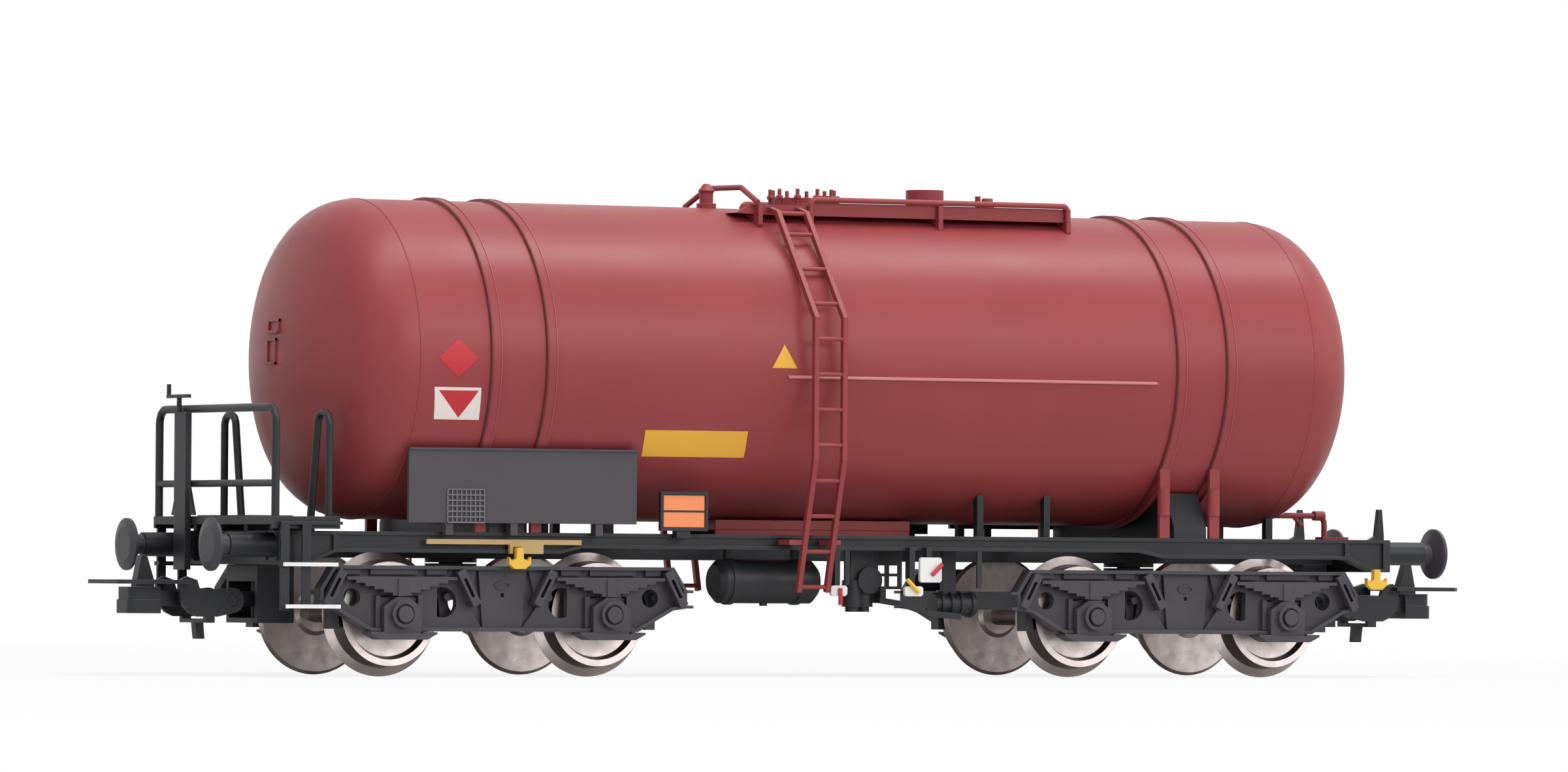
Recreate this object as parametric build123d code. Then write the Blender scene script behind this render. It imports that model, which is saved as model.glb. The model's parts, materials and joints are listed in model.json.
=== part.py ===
from build123d import *
import os
from math import atan2, cos, radians, sin, sqrt

# A model tank wagon on two four-wheel bogies, with a brake platform at one end.
# Millimetres. +X runs along the wagon, away from the brake platform. +Y is the far side, +Z is up.
# Z = 0 is the lowest point of the wheel flanges, and X = Y = 0 is the middle of the wagon.
# Heights follow from the wheels up: axle, sole bars, tank, walkway. Places along follow from the pivots out.

# Where along a bend a round bar's short runs meet
BEND_SHARES = (0.17, 0.5, 0.83)

# Wheels and axles
TREAD_RADIUS = 5.25
FLANGE_RADIUS = TREAD_RADIUS + 0.95
AXLE_Z = FLANGE_RADIUS
BACK_TO_BACK = 14.4
WHEEL_WIDTH = 2.8
FLANGE_WIDTH = 0.75
RIM_DEPTH = 0.75
WEB_DEPTH = 0.75
HUB_RADIUS = 1.9
HUB_PROUD = 0.3
AXLE_RADIUS = 1.0
JOURNAL_RADIUS = 0.8
JOURNAL_END = 12.3
JOURNAL_GAP = 0.06

# Bogies: side frames
PIVOT_X = 39.08
AXLE_SPACING = 22.98
SIDE_FRAME_Y = (10.95, 11.7)
FRAME_TOP_Z = AXLE_Z + 4.76
FRAME_TOP_HALF = 18.7
FRAME_TIP_HALF = 20.17
FRAME_TIP_Z = (AXLE_Z + 0.67, AXLE_Z + 2.5)
FRAME_KINK_HALF = 18.6
FRAME_KINK_Z = AXLE_Z + 0.45
FRAME_FOOT_HALF = 14.68
FRAME_FOOT_Z = AXLE_Z - 1.7
FRAME_FLANGE = 0.35
FRAME_FLANGE_Y = 12.5
PRONG = 0.7
END_BEAM = 0.8
HORN_HALF = 2.05
HORN_TOP_Z = AXLE_Z + 1.8
HORN_GAP = 0.05
GUIDE_WIDTH = 0.5
GUIDE_Y = 12.2
STRIP_X = ((-5.2, -3.0), (-2.0, 3.1), (4.2, 5.9))
STRIP_DEPTH = 0.55
STRIP_Y = 12.1
ROUND_HOLE_STEP = 4.92
ROUND_HOLE_Z = AXLE_Z + 1.65
ROUND_HOLE_RADIUS = 0.9
DEE_X = (4.33, 6.46)
DEE_Z = (AXLE_Z - 0.22, AXLE_Z + 2.55)
HANGER_TOP = (6.58, AXLE_Z + 3.9)
HANGER_LOW = (7.97, AXLE_Z + 1.3)
HANGER_HALF = 0.45
HANGER_SLOT_HALF = 0.17
HANGER_Y = 13.0

# Bogies: middle panel of a side frame, between two slanted recesses
PANEL_TOP_HALF = 2.63
PANEL_FOOT_HALF = 2.16
RECESS_TOP_HALF = 2.9
RECESS_FOOT_HALF = 4.37
RECESS_Z = (AXLE_Z - 1.25, AXLE_Z + 4.3)
RECESS_DEPTH = 0.45
RECESS_WEDGE_Z = AXLE_Z + 0.8
PANEL_RING_Z = AXLE_Z + 2.86
PANEL_RING_HALF = (0.87, 0.44)
PANEL_RING_WIDTH = 0.16
PANEL_RING_DEPTH = 0.15
PANEL_HOLE_Z = AXLE_Z + 1.9
PANEL_HOLE_RADIUS = 0.22

# Bogies: axleboxes, springs, brake blocks, bolster
BOX_FACE_Y = 13.0
BOX_TOP_HALF = 0.6
BOX_TOP_Z = HORN_TOP_Z - 0.15
BOX_SHOULDER_Z = AXLE_Z + 0.7
BOX_FOOT_Z = AXLE_Z - 1.9
COVER_RADII = (1.35, 1.0, 0.8)
COVER_Y = (13.6, 13.25, 13.85)
KEEPER_HALF = (2.5, 3.6)
KEEPER_Z = (AXLE_Z - 2.5, AXLE_Z - 1.95)
KEEPER_PAD_Z = FRAME_FOOT_Z - 0.05
KEEPER_Y = (11.3, 13.4)
SPRING_HALF = 6.0
SPRING_LOW_Z = AXLE_Z + 1.8
SPRING_LEAF = 0.31
SPRING_LEAVES = 6
SPRING_Y = (11.75, 12.85)
BUCKLE_HALF = 0.475
BUCKLE_PROUD = 0.15
BLOCK_GAP = 0.25
BLOCK_DEPTH = 0.9
BLOCK_Y = (8.3, 9.9)
BLOCK_Z = (AXLE_Z - 1.5, AXLE_Z + 2.2)
BOLSTER_HALF = 3.2
BOLSTER_Z = (AXLE_Z + 1.4, AXLE_Z + 4.4)
CENTRE_PLATE_RADIUS = 2.6
PIVOT_RADIUS = 1.2
PIVOT_GAP = 0.06
PIVOT_LOW_Z = AXLE_Z + 1.8

# Tank: its seams lie over the bogies' outer parts, and the frame runs on to the platform's headstock
BARREL_OVERHANG = 11.97
PLATFORM_ROOM = 11.95
TANK_RADIUS = 15.94
TANK_CENTRE_X = 0.9
TANK_SEAM_HALF = PIVOT_X + BARREL_OVERHANG
CROWN_RADIUS = 30.0
KNUCKLE_RADIUS = 6.2

# Underframe
FRAME_HALF_LENGTH = TANK_SEAM_HALF + PLATFORM_ROOM
SOLE_WEB_Y = (12.0, 12.45)
SOLE_FLANGE_Y = (11.3, 12.8)
SOLE_TOP_Z = AXLE_Z + 8.1
SOLE_MID_Z = SOLE_TOP_Z - 1.5
SOLE_END_Z = SOLE_TOP_Z - 2.06
SOLE_GUSSET_Z = SOLE_TOP_Z - 3.34
SOLE_FLANGE = 0.35
SOLE_STEP_LEFT = (-PIVOT_X + 5.83, -PIVOT_X + 8.33)
SOLE_STEP_RIGHT = (PIVOT_X - 6.13, PIVOT_X - 3.33)
GUSSET_X = (FRAME_HALF_LENGTH - 5.2, FRAME_HALF_LENGTH - 2.0)
HEADSTOCK = 0.8
SILL_HALF = 2.6
SILL_Z = (SOLE_TOP_Z - 2.6, SOLE_TOP_Z - 0.2)
BEARER_X = (-FRAME_HALF_LENGTH + 7.5, -22.5, -10.0, 10.0, 22.5, FRAME_HALF_LENGTH - 7.5)
BEARER = 0.6
BEARER_Z = (SOLE_TOP_Z - 1.1, SOLE_TOP_Z - 0.4)
BODY_BOLSTER_HALF = 2.8
BODY_BOLSTER_Z = (SOLE_TOP_Z - 3.0, SOLE_TOP_Z - 0.4)
TANK_Z = SOLE_TOP_Z + 1.24 + TANK_RADIUS
CROWN_Z = TANK_Z + TANK_RADIUS

# Buffers
BUFFER_Y = 10.06
BUFFER_Z = SOLE_TOP_Z - 1.4
BUFFER_FACE_X = FRAME_HALF_LENGTH + 7.35
BUFFER_HEAD_RADIUS = 2.6
BUFFER_HEAD_DEPTH = 0.65
BUFFER_BARREL_RADIUS = 1.2
BUFFER_BARREL_END = FRAME_HALF_LENGTH + 5.3
BUFFER_SHANK_RADIUS = 1.0
BUFFER_BASE = 1.6
BUFFER_BASE_DEPTH = 0.4

# Bands round the tank, their tails and the saddles
BAND_X = (-PIVOT_X - 2.92, -PIVOT_X + 3.18, PIVOT_X - 3.08, PIVOT_X + 2.82)
BAND_WIDTH = 1.15
BAND_DEPTH = 0.25
TAIL_Y = 12.45
TAIL_DEPTH = 0.5
SLEEVE_RADIUS = 0.65
SLEEVE_Z = (SOLE_TOP_Z + 2.3, SOLE_TOP_Z + 5.1)
SADDLE_HALF = 1.9
SADDLE_TOP_Z = SOLE_TOP_Z + 4.6
SADDLE_GAP = 0.03

# Top fittings, by their height over the tank's crown
MANHOLE_X = 0.4
MANHOLE_RADIUS = 3.75
MANHOLE_Z = CROWN_Z + 0.55
LID_TOP_Z = CROWN_Z + 1.2
BOLT_COUNT = 10
BOLT_TOP_Z = CROWN_Z + 2.1
DOME_X = 14.65
DOME_RADIUS = 1.95
DOME_TOP_Z = CROWN_Z + 2.4
VALVE_X = 22.0
VALVE_RADII = (1.1, 0.55)
VALVE_TOP_Z = CROWN_Z + 1.75
VENT_X = -10.6
VENT_RADIUS = 0.7
SKIN = 1.0

# Walkway and ladders
WALK_X = (-10.0, 27.8)
WALK_HALF = 7.2
WALK_Z = (CROWN_Z - 0.82, CROWN_Z - 0.22)
WALK_BRACKET_X = (-8.6, -2.62, 12.32, 27.28)
WALK_EDGE = 0.3
WALK_EDGE_Z = (WALK_Z[1] + 0.4, WALK_Z[1] + 0.75)
BRACKET = 0.5
RAIL_RADIUS = 0.28
RAIL_Z = CROWN_Z + 0.83
GRAB_X = -8.9
GRAB_PATH = ((-8.0, 0.4), (-4.3, 2.0), (3.0, 2.12), (8.0, 0.4))
LADDER_X = (-7.18, -3.95)
LADDER_STANDOFF = 1.46
LADDER_TOP_BEND_Z = CROWN_Z - 11.42
LADDER_LOW_BEND_Z = TANK_Z - 9.63
LADDER_PATH = (
    (WALK_HALF + 0.2, WALK_Z[1] - 0.1),
    (WALK_HALF + 1.9, WALK_Z[1] - 0.5),
    (TANK_RADIUS + LADDER_STANDOFF, LADDER_TOP_BEND_Z),
    (TANK_RADIUS + LADDER_STANDOFF, LADDER_LOW_BEND_Z),
    (SOLE_FLANGE_Y[1] + 1.2, AXLE_Z + 2.4),
)
STILE_WIDTH = 0.5
STILE_DEPTH = 0.6
RUNG_RADIUS = 0.22
RUNG_LOW_Z = AXLE_Z + 2.9
RUNG_COUNT = 11
RUNG_STEP = (CROWN_Z - 2.87 - RUNG_LOW_Z) / (RUNG_COUNT - 1)
TAB_REACH = (1.7, 0.9)

# Brake platform, set out from the headstock and the tank's end
DECK_X = (-FRAME_HALF_LENGTH - 2.2, -FRAME_HALF_LENGTH + 5.0)
DECK_OVERHANG = 1.4
DECK_HALF = SOLE_FLANGE_Y[1] + DECK_OVERHANG
DECK_Z = (SOLE_TOP_Z + 0.6, SOLE_TOP_Z + 1.4)
DECK_EDGE_Z = SOLE_TOP_Z + 0.2
DECK_BEARER_Y = (-9.0, -3.0, 3.0, 9.0)
RAILING_X = DECK_X[0] + 0.4
RAILING_HALF = DECK_HALF - 0.4
RAILING_RADIUS = 0.4
RAILING_TOP_Z = DECK_Z[1] + 10.65
RAILING_MID_Z = DECK_Z[1] + 3.24
POST_X = (DECK_X[0] - 0.7, DECK_X[0] - 0.05)
POST_Y = (5.1, 7.8)
POST_Z = (SOLE_TOP_Z - 3.9, DECK_Z[1] + 10.3)
CRANK_Y = 7.4
CRANK_Z = DECK_Z[1] + 11.9
HOOP_X = DECK_X[1] - 0.35
HOOP_RADIUS = 0.38
HOOP_OUT_Y = DECK_HALF - 1.9
HOOP_IN_Y = (8.15, 9.8)
HOOP_TOP_Z = DECK_Z[1] + 10.2
STEP_X = (DECK_X[0] + 0.6, DECK_X[1] - 0.7)
STEP_STRAP_X = (DECK_X[0] + 0.7, DECK_X[0] + 3.0)
STEP_STRAP = 0.8
STEP_STRAP_Y = (DECK_HALF + 0.25, DECK_HALF + 0.6)
STEP_Z = (SOLE_TOP_Z - 3.5, SOLE_TOP_Z - 7.6)
STEP_OUT_Y = (DECK_HALF + 1.1, DECK_HALF + 1.7)
STEP_DEPTH = 0.42

# Couplers, set out from the headstocks
SWING_X = FRAME_HALF_LENGTH - 2.8
HOUSING_X = (FRAME_HALF_LENGTH - 5.0, FRAME_HALF_LENGTH - 1.0)
HOUSING_HALF = 3.6
HOUSING_Z = (SOLE_TOP_Z - 9.1, SOLE_TOP_Z - 3.4)
HOUSING_WALL = 0.5
SWING_PIN_RADIUS = 0.7
SWING_GAP = 0.06
SHANK_HALF = 1.3
SHANK_Z = (SOLE_TOP_Z - 7.5, SOLE_TOP_Z - 6.0)
HEAD_X = (FRAME_HALF_LENGTH + 8.6, FRAME_HALF_LENGTH + 11.9)
HEAD_HALF = 2.0
HEAD_Z = (SOLE_TOP_Z - 8.2, SOLE_TOP_Z - 5.6)
HEAD_SEAM_Z = SOLE_TOP_Z - 6.85
HEAD_ROUND = 0.9
HOOK_TOP_Z = HEAD_Z[1] + 3.1
BAIL_X = FRAME_HALF_LENGTH + 1.4
BAIL_Z = SOLE_TOP_Z - 6.9
BAIL_PIN_RADIUS = 0.55
BAIL_GAP = 0.06
BAIL_TIP_X = FRAME_HALF_LENGTH + 14.0
BAIL_ARM_Y = (2.5, 3.1)
BAIL_BOSS_RADIUS = 1.25
LOOP_HALF = 4.2
LOOP_Z = (BAIL_Z + 1.6, BAIL_Z + 2.0)

# Tow hooks: place along the wagon, height of the root, distance out of the inner face
HOOK_PLACES = (
    (-PIVOT_X + 0.88, SOLE_TOP_Z - 1.8, 13.3),
    (FRAME_HALF_LENGTH - 1.95, SOLE_TOP_Z - 3.35, 12.9),
)

# Air reservoir under the near side
RESERVOIR_X = (-14.2, -2.8)
RESERVOIR_Y = -9.0
RESERVOIR_Z = SOLE_TOP_Z - 4.7
RESERVOIR_RADIUS = 2.2
RESERVOIR_CHAMFER = 0.6
RESERVOIR_STRAP_X = (-12.6, -5.0)

# Brake cylinder and the gear beside it
BOGIE_REACH_X = PIVOT_X - FRAME_TIP_HALF
CYLINDER_X = (10.9, BOGIE_REACH_X - 3.31)
CYLINDER_STRETCH = (CYLINDER_X[1] - CYLINDER_X[0]) / 4.7
CYLINDER_Y = -9.0
CYLINDER_Z = SOLE_TOP_Z - 6.9
CYLINDER_RADIUS = 1.15
CYLINDER_RIBS_X = tuple(CYLINDER_X[0] + reach * CYLINDER_STRETCH for reach in (0.7, 1.8, 2.9, 4.2))
CYLINDER_HANGER_X = (CYLINDER_X[0] + 1.1 * CYLINDER_STRETCH, CYLINDER_X[0] + 2.5 * CYLINDER_STRETCH)
CYLINDER_BEARER_X = (CYLINDER_X[0] - 1.2, CYLINDER_HANGER_X[1])
VALVE_BODY = (3.05, SOLE_TOP_Z - 4.5)
VALVE_BODY_RADIUS = 1.37
BOWLS = ((1.65, 1.05), (3.0, 0.9))
BOWL_LOW_Z = SOLE_TOP_Z - 7.7
WINDOW_PLATE_X = (4.0, 7.25)
WINDOW_PLATE_Z = (SOLE_TOP_Z - 5.4, SOLE_TOP_Z - 2.7)
LEVER_LINE = ((3.9, 0.0), (6.68, -0.4), (9.7, -1.34), (13.3, -1.64))
LEVER_Z = SOLE_TOP_Z - 6.5
STRAP_X = (-2.6, -0.92, 6.13, 14.3)
STRAP_Y = (12.45, 12.75)
STRAP_FOOT_Z = (SOLE_TOP_Z - 5.0, SOLE_TOP_Z - 5.0, SOLE_TOP_Z - 4.35, SOLE_TOP_Z - 5.26)

# Change-over plates on the near side: middle along, height, half width, half height
PLATE_Y = (13.6, 14.0)
PLATES = ((-2.5, SOLE_TOP_Z - 5.57, 0.92, 0.53), (8.0, SOLE_TOP_Z - 3.42, 1.24, 1.26), (6.07, SOLE_TOP_Z - 5.58, 1.04, 0.5))
LEVERS = (((-2.48, -5.3), (-2.48, -7.0)), ((8.03, -3.92), (9.17, -2.85)), ((5.15, -4.41), (6.5, -5.69)))
LEVER_RADIUS = 0.22
PLATE_CORNER = 0.2

# Struts under the tank: place along, distance out, width
STRUTS = ((16.2, 9.0, 0.7), (24.0, 9.0, 0.7), (52.8, 5.0, 0.8), (-34.2, 6.0, 0.8), (-31.8, 6.0, 0.8), (-24.5, 6.0, 0.8))
STRIP_UNDER_X = (-11.6, 10.7)
STRIP_UNDER_Y = 4.5
STRIP_UNDER_Z = (SOLE_TOP_Z + 0.5, SOLE_TOP_Z + 1.5)

# Drain pipe and lamp irons at the end without the platform
DRAIN_Y = -5.0
DRAIN_Z = SOLE_TOP_Z + 2.5
LAMP_IRON_Y = 8.0

# Boards and plates
BOARD_X = (-PIVOT_X - 11.42, -PIVOT_X + 13.68)
# The larger the tank, the lower its flank comes over the sole bar, and the lower the boards end
BOARD_ROOM = 132.302
BOARD_Z = (SOLE_TOP_Z + 0.9, SOLE_TOP_Z + BOARD_ROOM / TANK_RADIUS)
BOARD_IN_Y = SOLE_FLANGE_Y[1] + 0.797417
BOARD_Y = (BOARD_IN_Y, BOARD_IN_Y + 0.4)
BOARD_STUBS_X = tuple(BOARD_X[0] + reach for reach in (4.5, 11.6, 21.0))
PLATE_X = (-22.7, -17.4)
PLATE_Z = (SOLE_TOP_Z + 0.3, SOLE_TOP_Z + 4.2)
PLATE_HOLDER_Y = (SOLE_FLANGE_Y[1] + 0.7, SOLE_FLANGE_Y[1] + 1.2)


def block(x, y, z):
    """Box that fills three (low, high) pairs."""
    size = [pair[1] - pair[0] for pair in (x, y, z)]
    middle = [(pair[0] + pair[1]) / 2 for pair in (x, y, z)]
    return Pos(*middle) * Box(*size)


def rod(start, end, radius):
    """Round bar from start to end."""
    run = Vector(*end) - Vector(*start)
    return extrude(Plane(origin=start, z_dir=run) * Circle(radius), amount=run.length)


def side_plate(points, y):
    """Outline drawn in X and Z, filling the (low, high) pair y."""
    outline = Polyline(*[(px, y[0], pz) for px, pz in points], close=True)
    return extrude(make_face(outline), amount=y[1] - y[0], dir=(0, 1, 0))


def cross_plate(points, x):
    """Outline drawn in Y and Z, filling the (low, high) pair x."""
    outline = Polyline(*[(x[0], py, pz) for py, pz in points], close=True)
    return extrude(make_face(outline), amount=x[1] - x[0], dir=(1, 0, 0))


def bent_rod(points, bend, radius):
    """Round bar along straight runs joined by bends, each bend in a few short mitred runs."""
    stops = []
    for edge in FilletPolyline(*points, radius=bend).edges():
        shares = (0.0, 1.0) if edge.geom_type == GeomType.LINE else BEND_SHARES
        stops += [edge @ share for share in shares]
    route = [stops[0]]
    for stop in stops[1:]:
        if (stop - route[-1]).length > 0.01:
            route.append(stop)
    path = Polyline(*route)
    return sweep(Plane(origin=path @ 0, z_dir=path % 0) * Circle(radius), path=path, transition=Transition.RIGHT)


def joined(shapes):
    """One solid from shapes that touch."""
    return shapes[0] + list(shapes[1:])


def group(shapes):
    """Separate solids kept together as one sub-part."""
    return Compound([solid for shape in shapes for solid in shape.solids()])


def far_side(shape):
    """Copy of a near-side shape on the far side."""
    return mirror(shape, about=Plane.XZ)


def other_end(shape):
    """Copy of a shape at the other end of the wagon."""
    return mirror(shape, about=Plane.YZ)


def both_sides(shape):
    """A shape and its copy across the wagon's middle plane."""
    return [shape, far_side(shape)]


def spun(points, axis):
    """Solid made by turning an outline about an axis."""
    return revolve(make_face(Polyline(*points, close=True)), axis=axis)


def tank_outline(extra):
    """Half outline of the tank above its axis, grown by extra: body, knuckles and crowned ends."""
    radius = TANK_RADIUS + extra
    knuckle = KNUCKLE_RADIUS + extra
    crown = CROWN_RADIUS + extra
    rise = radius - knuckle
    reach = sqrt((crown - knuckle) ** 2 - rise**2)
    turn = atan2(rise, reach)
    halves = []
    for side in (-1, 1):
        seam = TANK_CENTRE_X + side * TANK_SEAM_HALF
        half_turn = (radians(90) + turn) / 2
        top = (seam, 0, TANK_Z + radius)
        bend = (seam + side * knuckle * cos(half_turn), 0, TANK_Z + rise + knuckle * sin(half_turn))
        join = (seam + side * (crown * cos(turn) - reach), 0, TANK_Z + crown * sin(turn))
        bulge = (seam + side * (crown * cos(turn / 2) - reach), 0, TANK_Z + crown * sin(turn / 2))
        pole = (seam + side * (crown - reach), 0, TANK_Z)
        halves.append((top, bend, join, bulge, pole))
    left, right = halves
    edges = [
        Line(left[0], right[0]),
        ThreePointArc(right[0], right[1], right[2]),
        ThreePointArc(right[2], right[3], right[4]),
        Line(right[4], left[4]),
        ThreePointArc(left[4], left[3], left[2]),
        ThreePointArc(left[2], left[1], left[0]),
    ]
    return make_face(edges)


TANK_AXIS = Axis((0, 0, TANK_Z), (1, 0, 0))


def tank_body(extra=0.0):
    """The tank as one solid, grown by extra all round."""
    return revolve(tank_outline(extra), axis=TANK_AXIS)


def tank_shell():
    """Tank body with its dished ends."""
    return tank_body()


def tank_bands():
    """Flat steel bands that lie on the upper tank and stop where their tails leave it."""
    outer = TANK_RADIUS + BAND_DEPTH
    foot_z = TANK_Z - sqrt(outer**2 - (TAIL_Y + TAIL_DEPTH / 2) ** 2)
    bands = []
    for x in BAND_X:
        span = (x - BAND_WIDTH / 2, x + BAND_WIDTH / 2)
        middle = Pos(x, 0, TANK_Z) * Rot(0, 90, 0)
        ring = middle * Cylinder(outer, BAND_WIDTH) - middle * Cylinder(TANK_RADIUS, 2 * BAND_WIDTH)
        below = block((span[0] - 1, span[1] + 1), (-outer - 1, outer + 1), (TANK_Z - outer - 1, foot_z))
        bands.append(ring - below)
    return group(bands)


def band_tensioners():
    """Straight tails from the bands to the sole bars, each with a screw sleeve."""
    outer = TANK_RADIUS + BAND_DEPTH
    foot_z = TANK_Z - sqrt(outer**2 - (TAIL_Y + TAIL_DEPTH / 2) ** 2)
    tank = tank_body(SADDLE_GAP)
    pieces = []
    for x in BAND_X:
        span = (x - BAND_WIDTH / 2, x + BAND_WIDTH / 2)
        tail = block(span, (-TAIL_Y - TAIL_DEPTH / 2, -TAIL_Y + TAIL_DEPTH / 2), (SOLE_TOP_Z, foot_z)) - tank
        sleeve = rod((x, -TAIL_Y, SLEEVE_Z[0]), (x, -TAIL_Y, SLEEVE_Z[1]), SLEEVE_RADIUS)
        pieces += both_sides(joined([tail, sleeve]))
    return group(pieces)


def tank_saddles():
    """Cradles over the bogie pivots that carry the tank on the frame."""
    outline = [
        (-12.6, SOLE_TOP_Z),
        (-12.6, SOLE_TOP_Z + 1.0),
        (-10.6, SADDLE_TOP_Z),
        (10.6, SADDLE_TOP_Z),
        (12.6, SOLE_TOP_Z + 1.0),
        (12.6, SOLE_TOP_Z),
    ]
    saddles = []
    for x in (-PIVOT_X, PIVOT_X):
        cradle = cross_plate(outline, (x - SADDLE_HALF, x + SADDLE_HALF))
        hollow = Pos(x, 0, TANK_Z) * Rot(0, 90, 0) * Cylinder(TANK_RADIUS + SADDLE_GAP, 4 * SADDLE_HALF)
        saddles.append(cradle - hollow)
    return group(saddles)


def on_tank(shape):
    """Cut a top fitting back to the tank's surface."""
    return shape - tank_body()


def manhole():
    """Manhole neck, lid, the swing bolts round it and its hinge arm."""
    neck = rod((MANHOLE_X, 0, CROWN_Z - SKIN), (MANHOLE_X, 0, MANHOLE_Z), MANHOLE_RADIUS)
    lid = rod((MANHOLE_X, 0, MANHOLE_Z), (MANHOLE_X, 0, LID_TOP_Z), MANHOLE_RADIUS - 0.5)
    pieces = [neck, lid]
    for index in range(BOLT_COUNT):
        turn = radians(360 * (index + 0.5) / BOLT_COUNT)
        x = MANHOLE_X + (MANHOLE_RADIUS - 0.45) * cos(turn)
        y = (MANHOLE_RADIUS - 0.45) * sin(turn)
        pieces.append(rod((x, y, MANHOLE_Z - 0.2), (x, y, BOLT_TOP_Z), 0.2))
    arm_x = (MANHOLE_X + 1.5, MANHOLE_X + MANHOLE_RADIUS + 0.3)
    pieces.append(block(arm_x, (-0.5, 0.5), (MANHOLE_Z - 0.3, LID_TOP_Z + 0.35)))
    return on_tank(joined(pieces))


def vent_dome():
    """Plain round dome on the tank's crown."""
    return on_tank(rod((DOME_X, 0, CROWN_Z - SKIN), (DOME_X, 0, DOME_TOP_Z), DOME_RADIUS))


def filler_valve():
    """Small tapered valve cap with a pin beside it."""
    low, high = CROWN_Z - SKIN, VALVE_TOP_Z
    cap = spun(
        [(VALVE_X, 0, low), (VALVE_X + VALVE_RADII[0], 0, low), (VALVE_X + VALVE_RADII[1], 0, high), (VALVE_X, 0, high)],
        Axis((VALVE_X, 0, 0), (0, 0, 1)),
    )
    pin = rod((VALVE_X - VALVE_RADII[0], 0, low), (VALVE_X - VALVE_RADII[0], 0, high + 0.2), 0.3)
    return on_tank(joined([cap, pin]))


def relief_vent():
    """Bell-shaped vent on a wide foot."""
    x = VENT_X
    outline = [
        (0, -SKIN / 2),
        (VENT_RADIUS + 0.3, -SKIN / 2),
        (VENT_RADIUS + 0.3, 0.45),
        (VENT_RADIUS, 0.45),
        (VENT_RADIUS, 1.5),
        (VENT_RADIUS + 0.15, 1.75),
        (0.3, 2.45),
        (0, 2.45),
    ]
    return on_tank(spun([(x + r, 0, CROWN_Z + z) for r, z in outline], Axis((x, 0, 0), (0, 0, 1))))


def walkway():
    """Two planks along the tank's crown, wedge-shaped at the ladder's end."""
    round_neck = rod((MANHOLE_X, 0, WALK_Z[0] - 1), (MANHOLE_X, 0, WALK_Z[1] + 1), MANHOLE_RADIUS + 0.2)
    outline = [
        (WALK_X[0] - 0.9, WALK_Z[0] + 0.15),
        (WALK_X[0] + 1.4, WALK_Z[0]),
        (WALK_X[1], WALK_Z[0]),
        (WALK_X[1], WALK_Z[1]),
        (WALK_X[0] + 1.4, WALK_Z[1]),
    ]
    step_x = WALK_BRACKET_X[1]
    edge = [
        (WALK_X[0] - 0.9, WALK_Z[0] + 0.15),
        (WALK_X[0] + 1.4, WALK_Z[0]),
        (WALK_X[1], WALK_Z[0]),
        (WALK_X[1], WALK_EDGE_Z[1]),
        (step_x, WALK_EDGE_Z[1]),
        (step_x, WALK_EDGE_Z[0]),
        (WALK_X[0] + 0.6, WALK_EDGE_Z[0]),
    ]
    plank = side_plate(outline, (-WALK_HALF, -0.5)) - tank_body(SADDLE_GAP) - round_neck
    near = joined([plank, side_plate(edge, (-WALK_HALF, -WALK_HALF + WALK_EDGE))])
    return group(both_sides(near))


def walkway_brackets():
    """Brackets that carry the planks on the tank, some with an upright beside the plank."""
    low = WALK_Z[0]
    uprights = (
        (WALK_BRACKET_X[0], WALK_HALF + 0.9, CROWN_Z + 0.3),
        (WALK_BRACKET_X[1], WALK_HALF + 0.55, low + 0.02),
        (WALK_BRACKET_X[2], WALK_HALF + 0.55, RAIL_Z - RAIL_RADIUS - 0.02),
        (WALK_BRACKET_X[3], WALK_HALF + 0.55, low + 0.02),
    )
    pieces = []
    tank = tank_body()
    for x, out, top in uprights:
        outline = [
            (-3.0, low),
            (-WALK_HALF, low),
            (-WALK_HALF, top),
            (-out, top),
            (-out, low - 1.0),
            (-WALK_HALF - 0.3, low - 2.0),
            (-3.0, low - 2.0),
        ]
        plate = cross_plate(outline, (x - BRACKET / 2, x + BRACKET / 2)) - tank
        pieces += both_sides(plate)
    return group(pieces)


def walkway_rails():
    """Tubes along the planks and the hoop beside the ladder."""
    y = WALK_HALF + RAIL_RADIUS + 0.02
    low = WALK_Z[0] + 0.04
    first = WALK_BRACKET_X[1]
    last = WALK_BRACKET_X[3]
    side = bent_rod([(first, -y, low), (first, -y, RAIL_Z), (last, -y, RAIL_Z), (last, -y, low)], 0.6, RAIL_RADIUS)
    hoop = bent_rod([(GRAB_X, y, CROWN_Z + z) for y, z in GRAB_PATH], 0.8, RAIL_RADIUS)
    return group(both_sides(side) + [hoop])


def ladder_y(z):
    """How far out the ladder's middle line is at height z."""
    for (y_high, z_high), (y_low, z_low) in zip(LADDER_PATH, LADDER_PATH[1:]):
        if z_low <= z <= z_high:
            return y_low + (y_high - y_low) * (z - z_low) / (z_high - z_low)
    return LADDER_PATH[-1][0]


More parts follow.
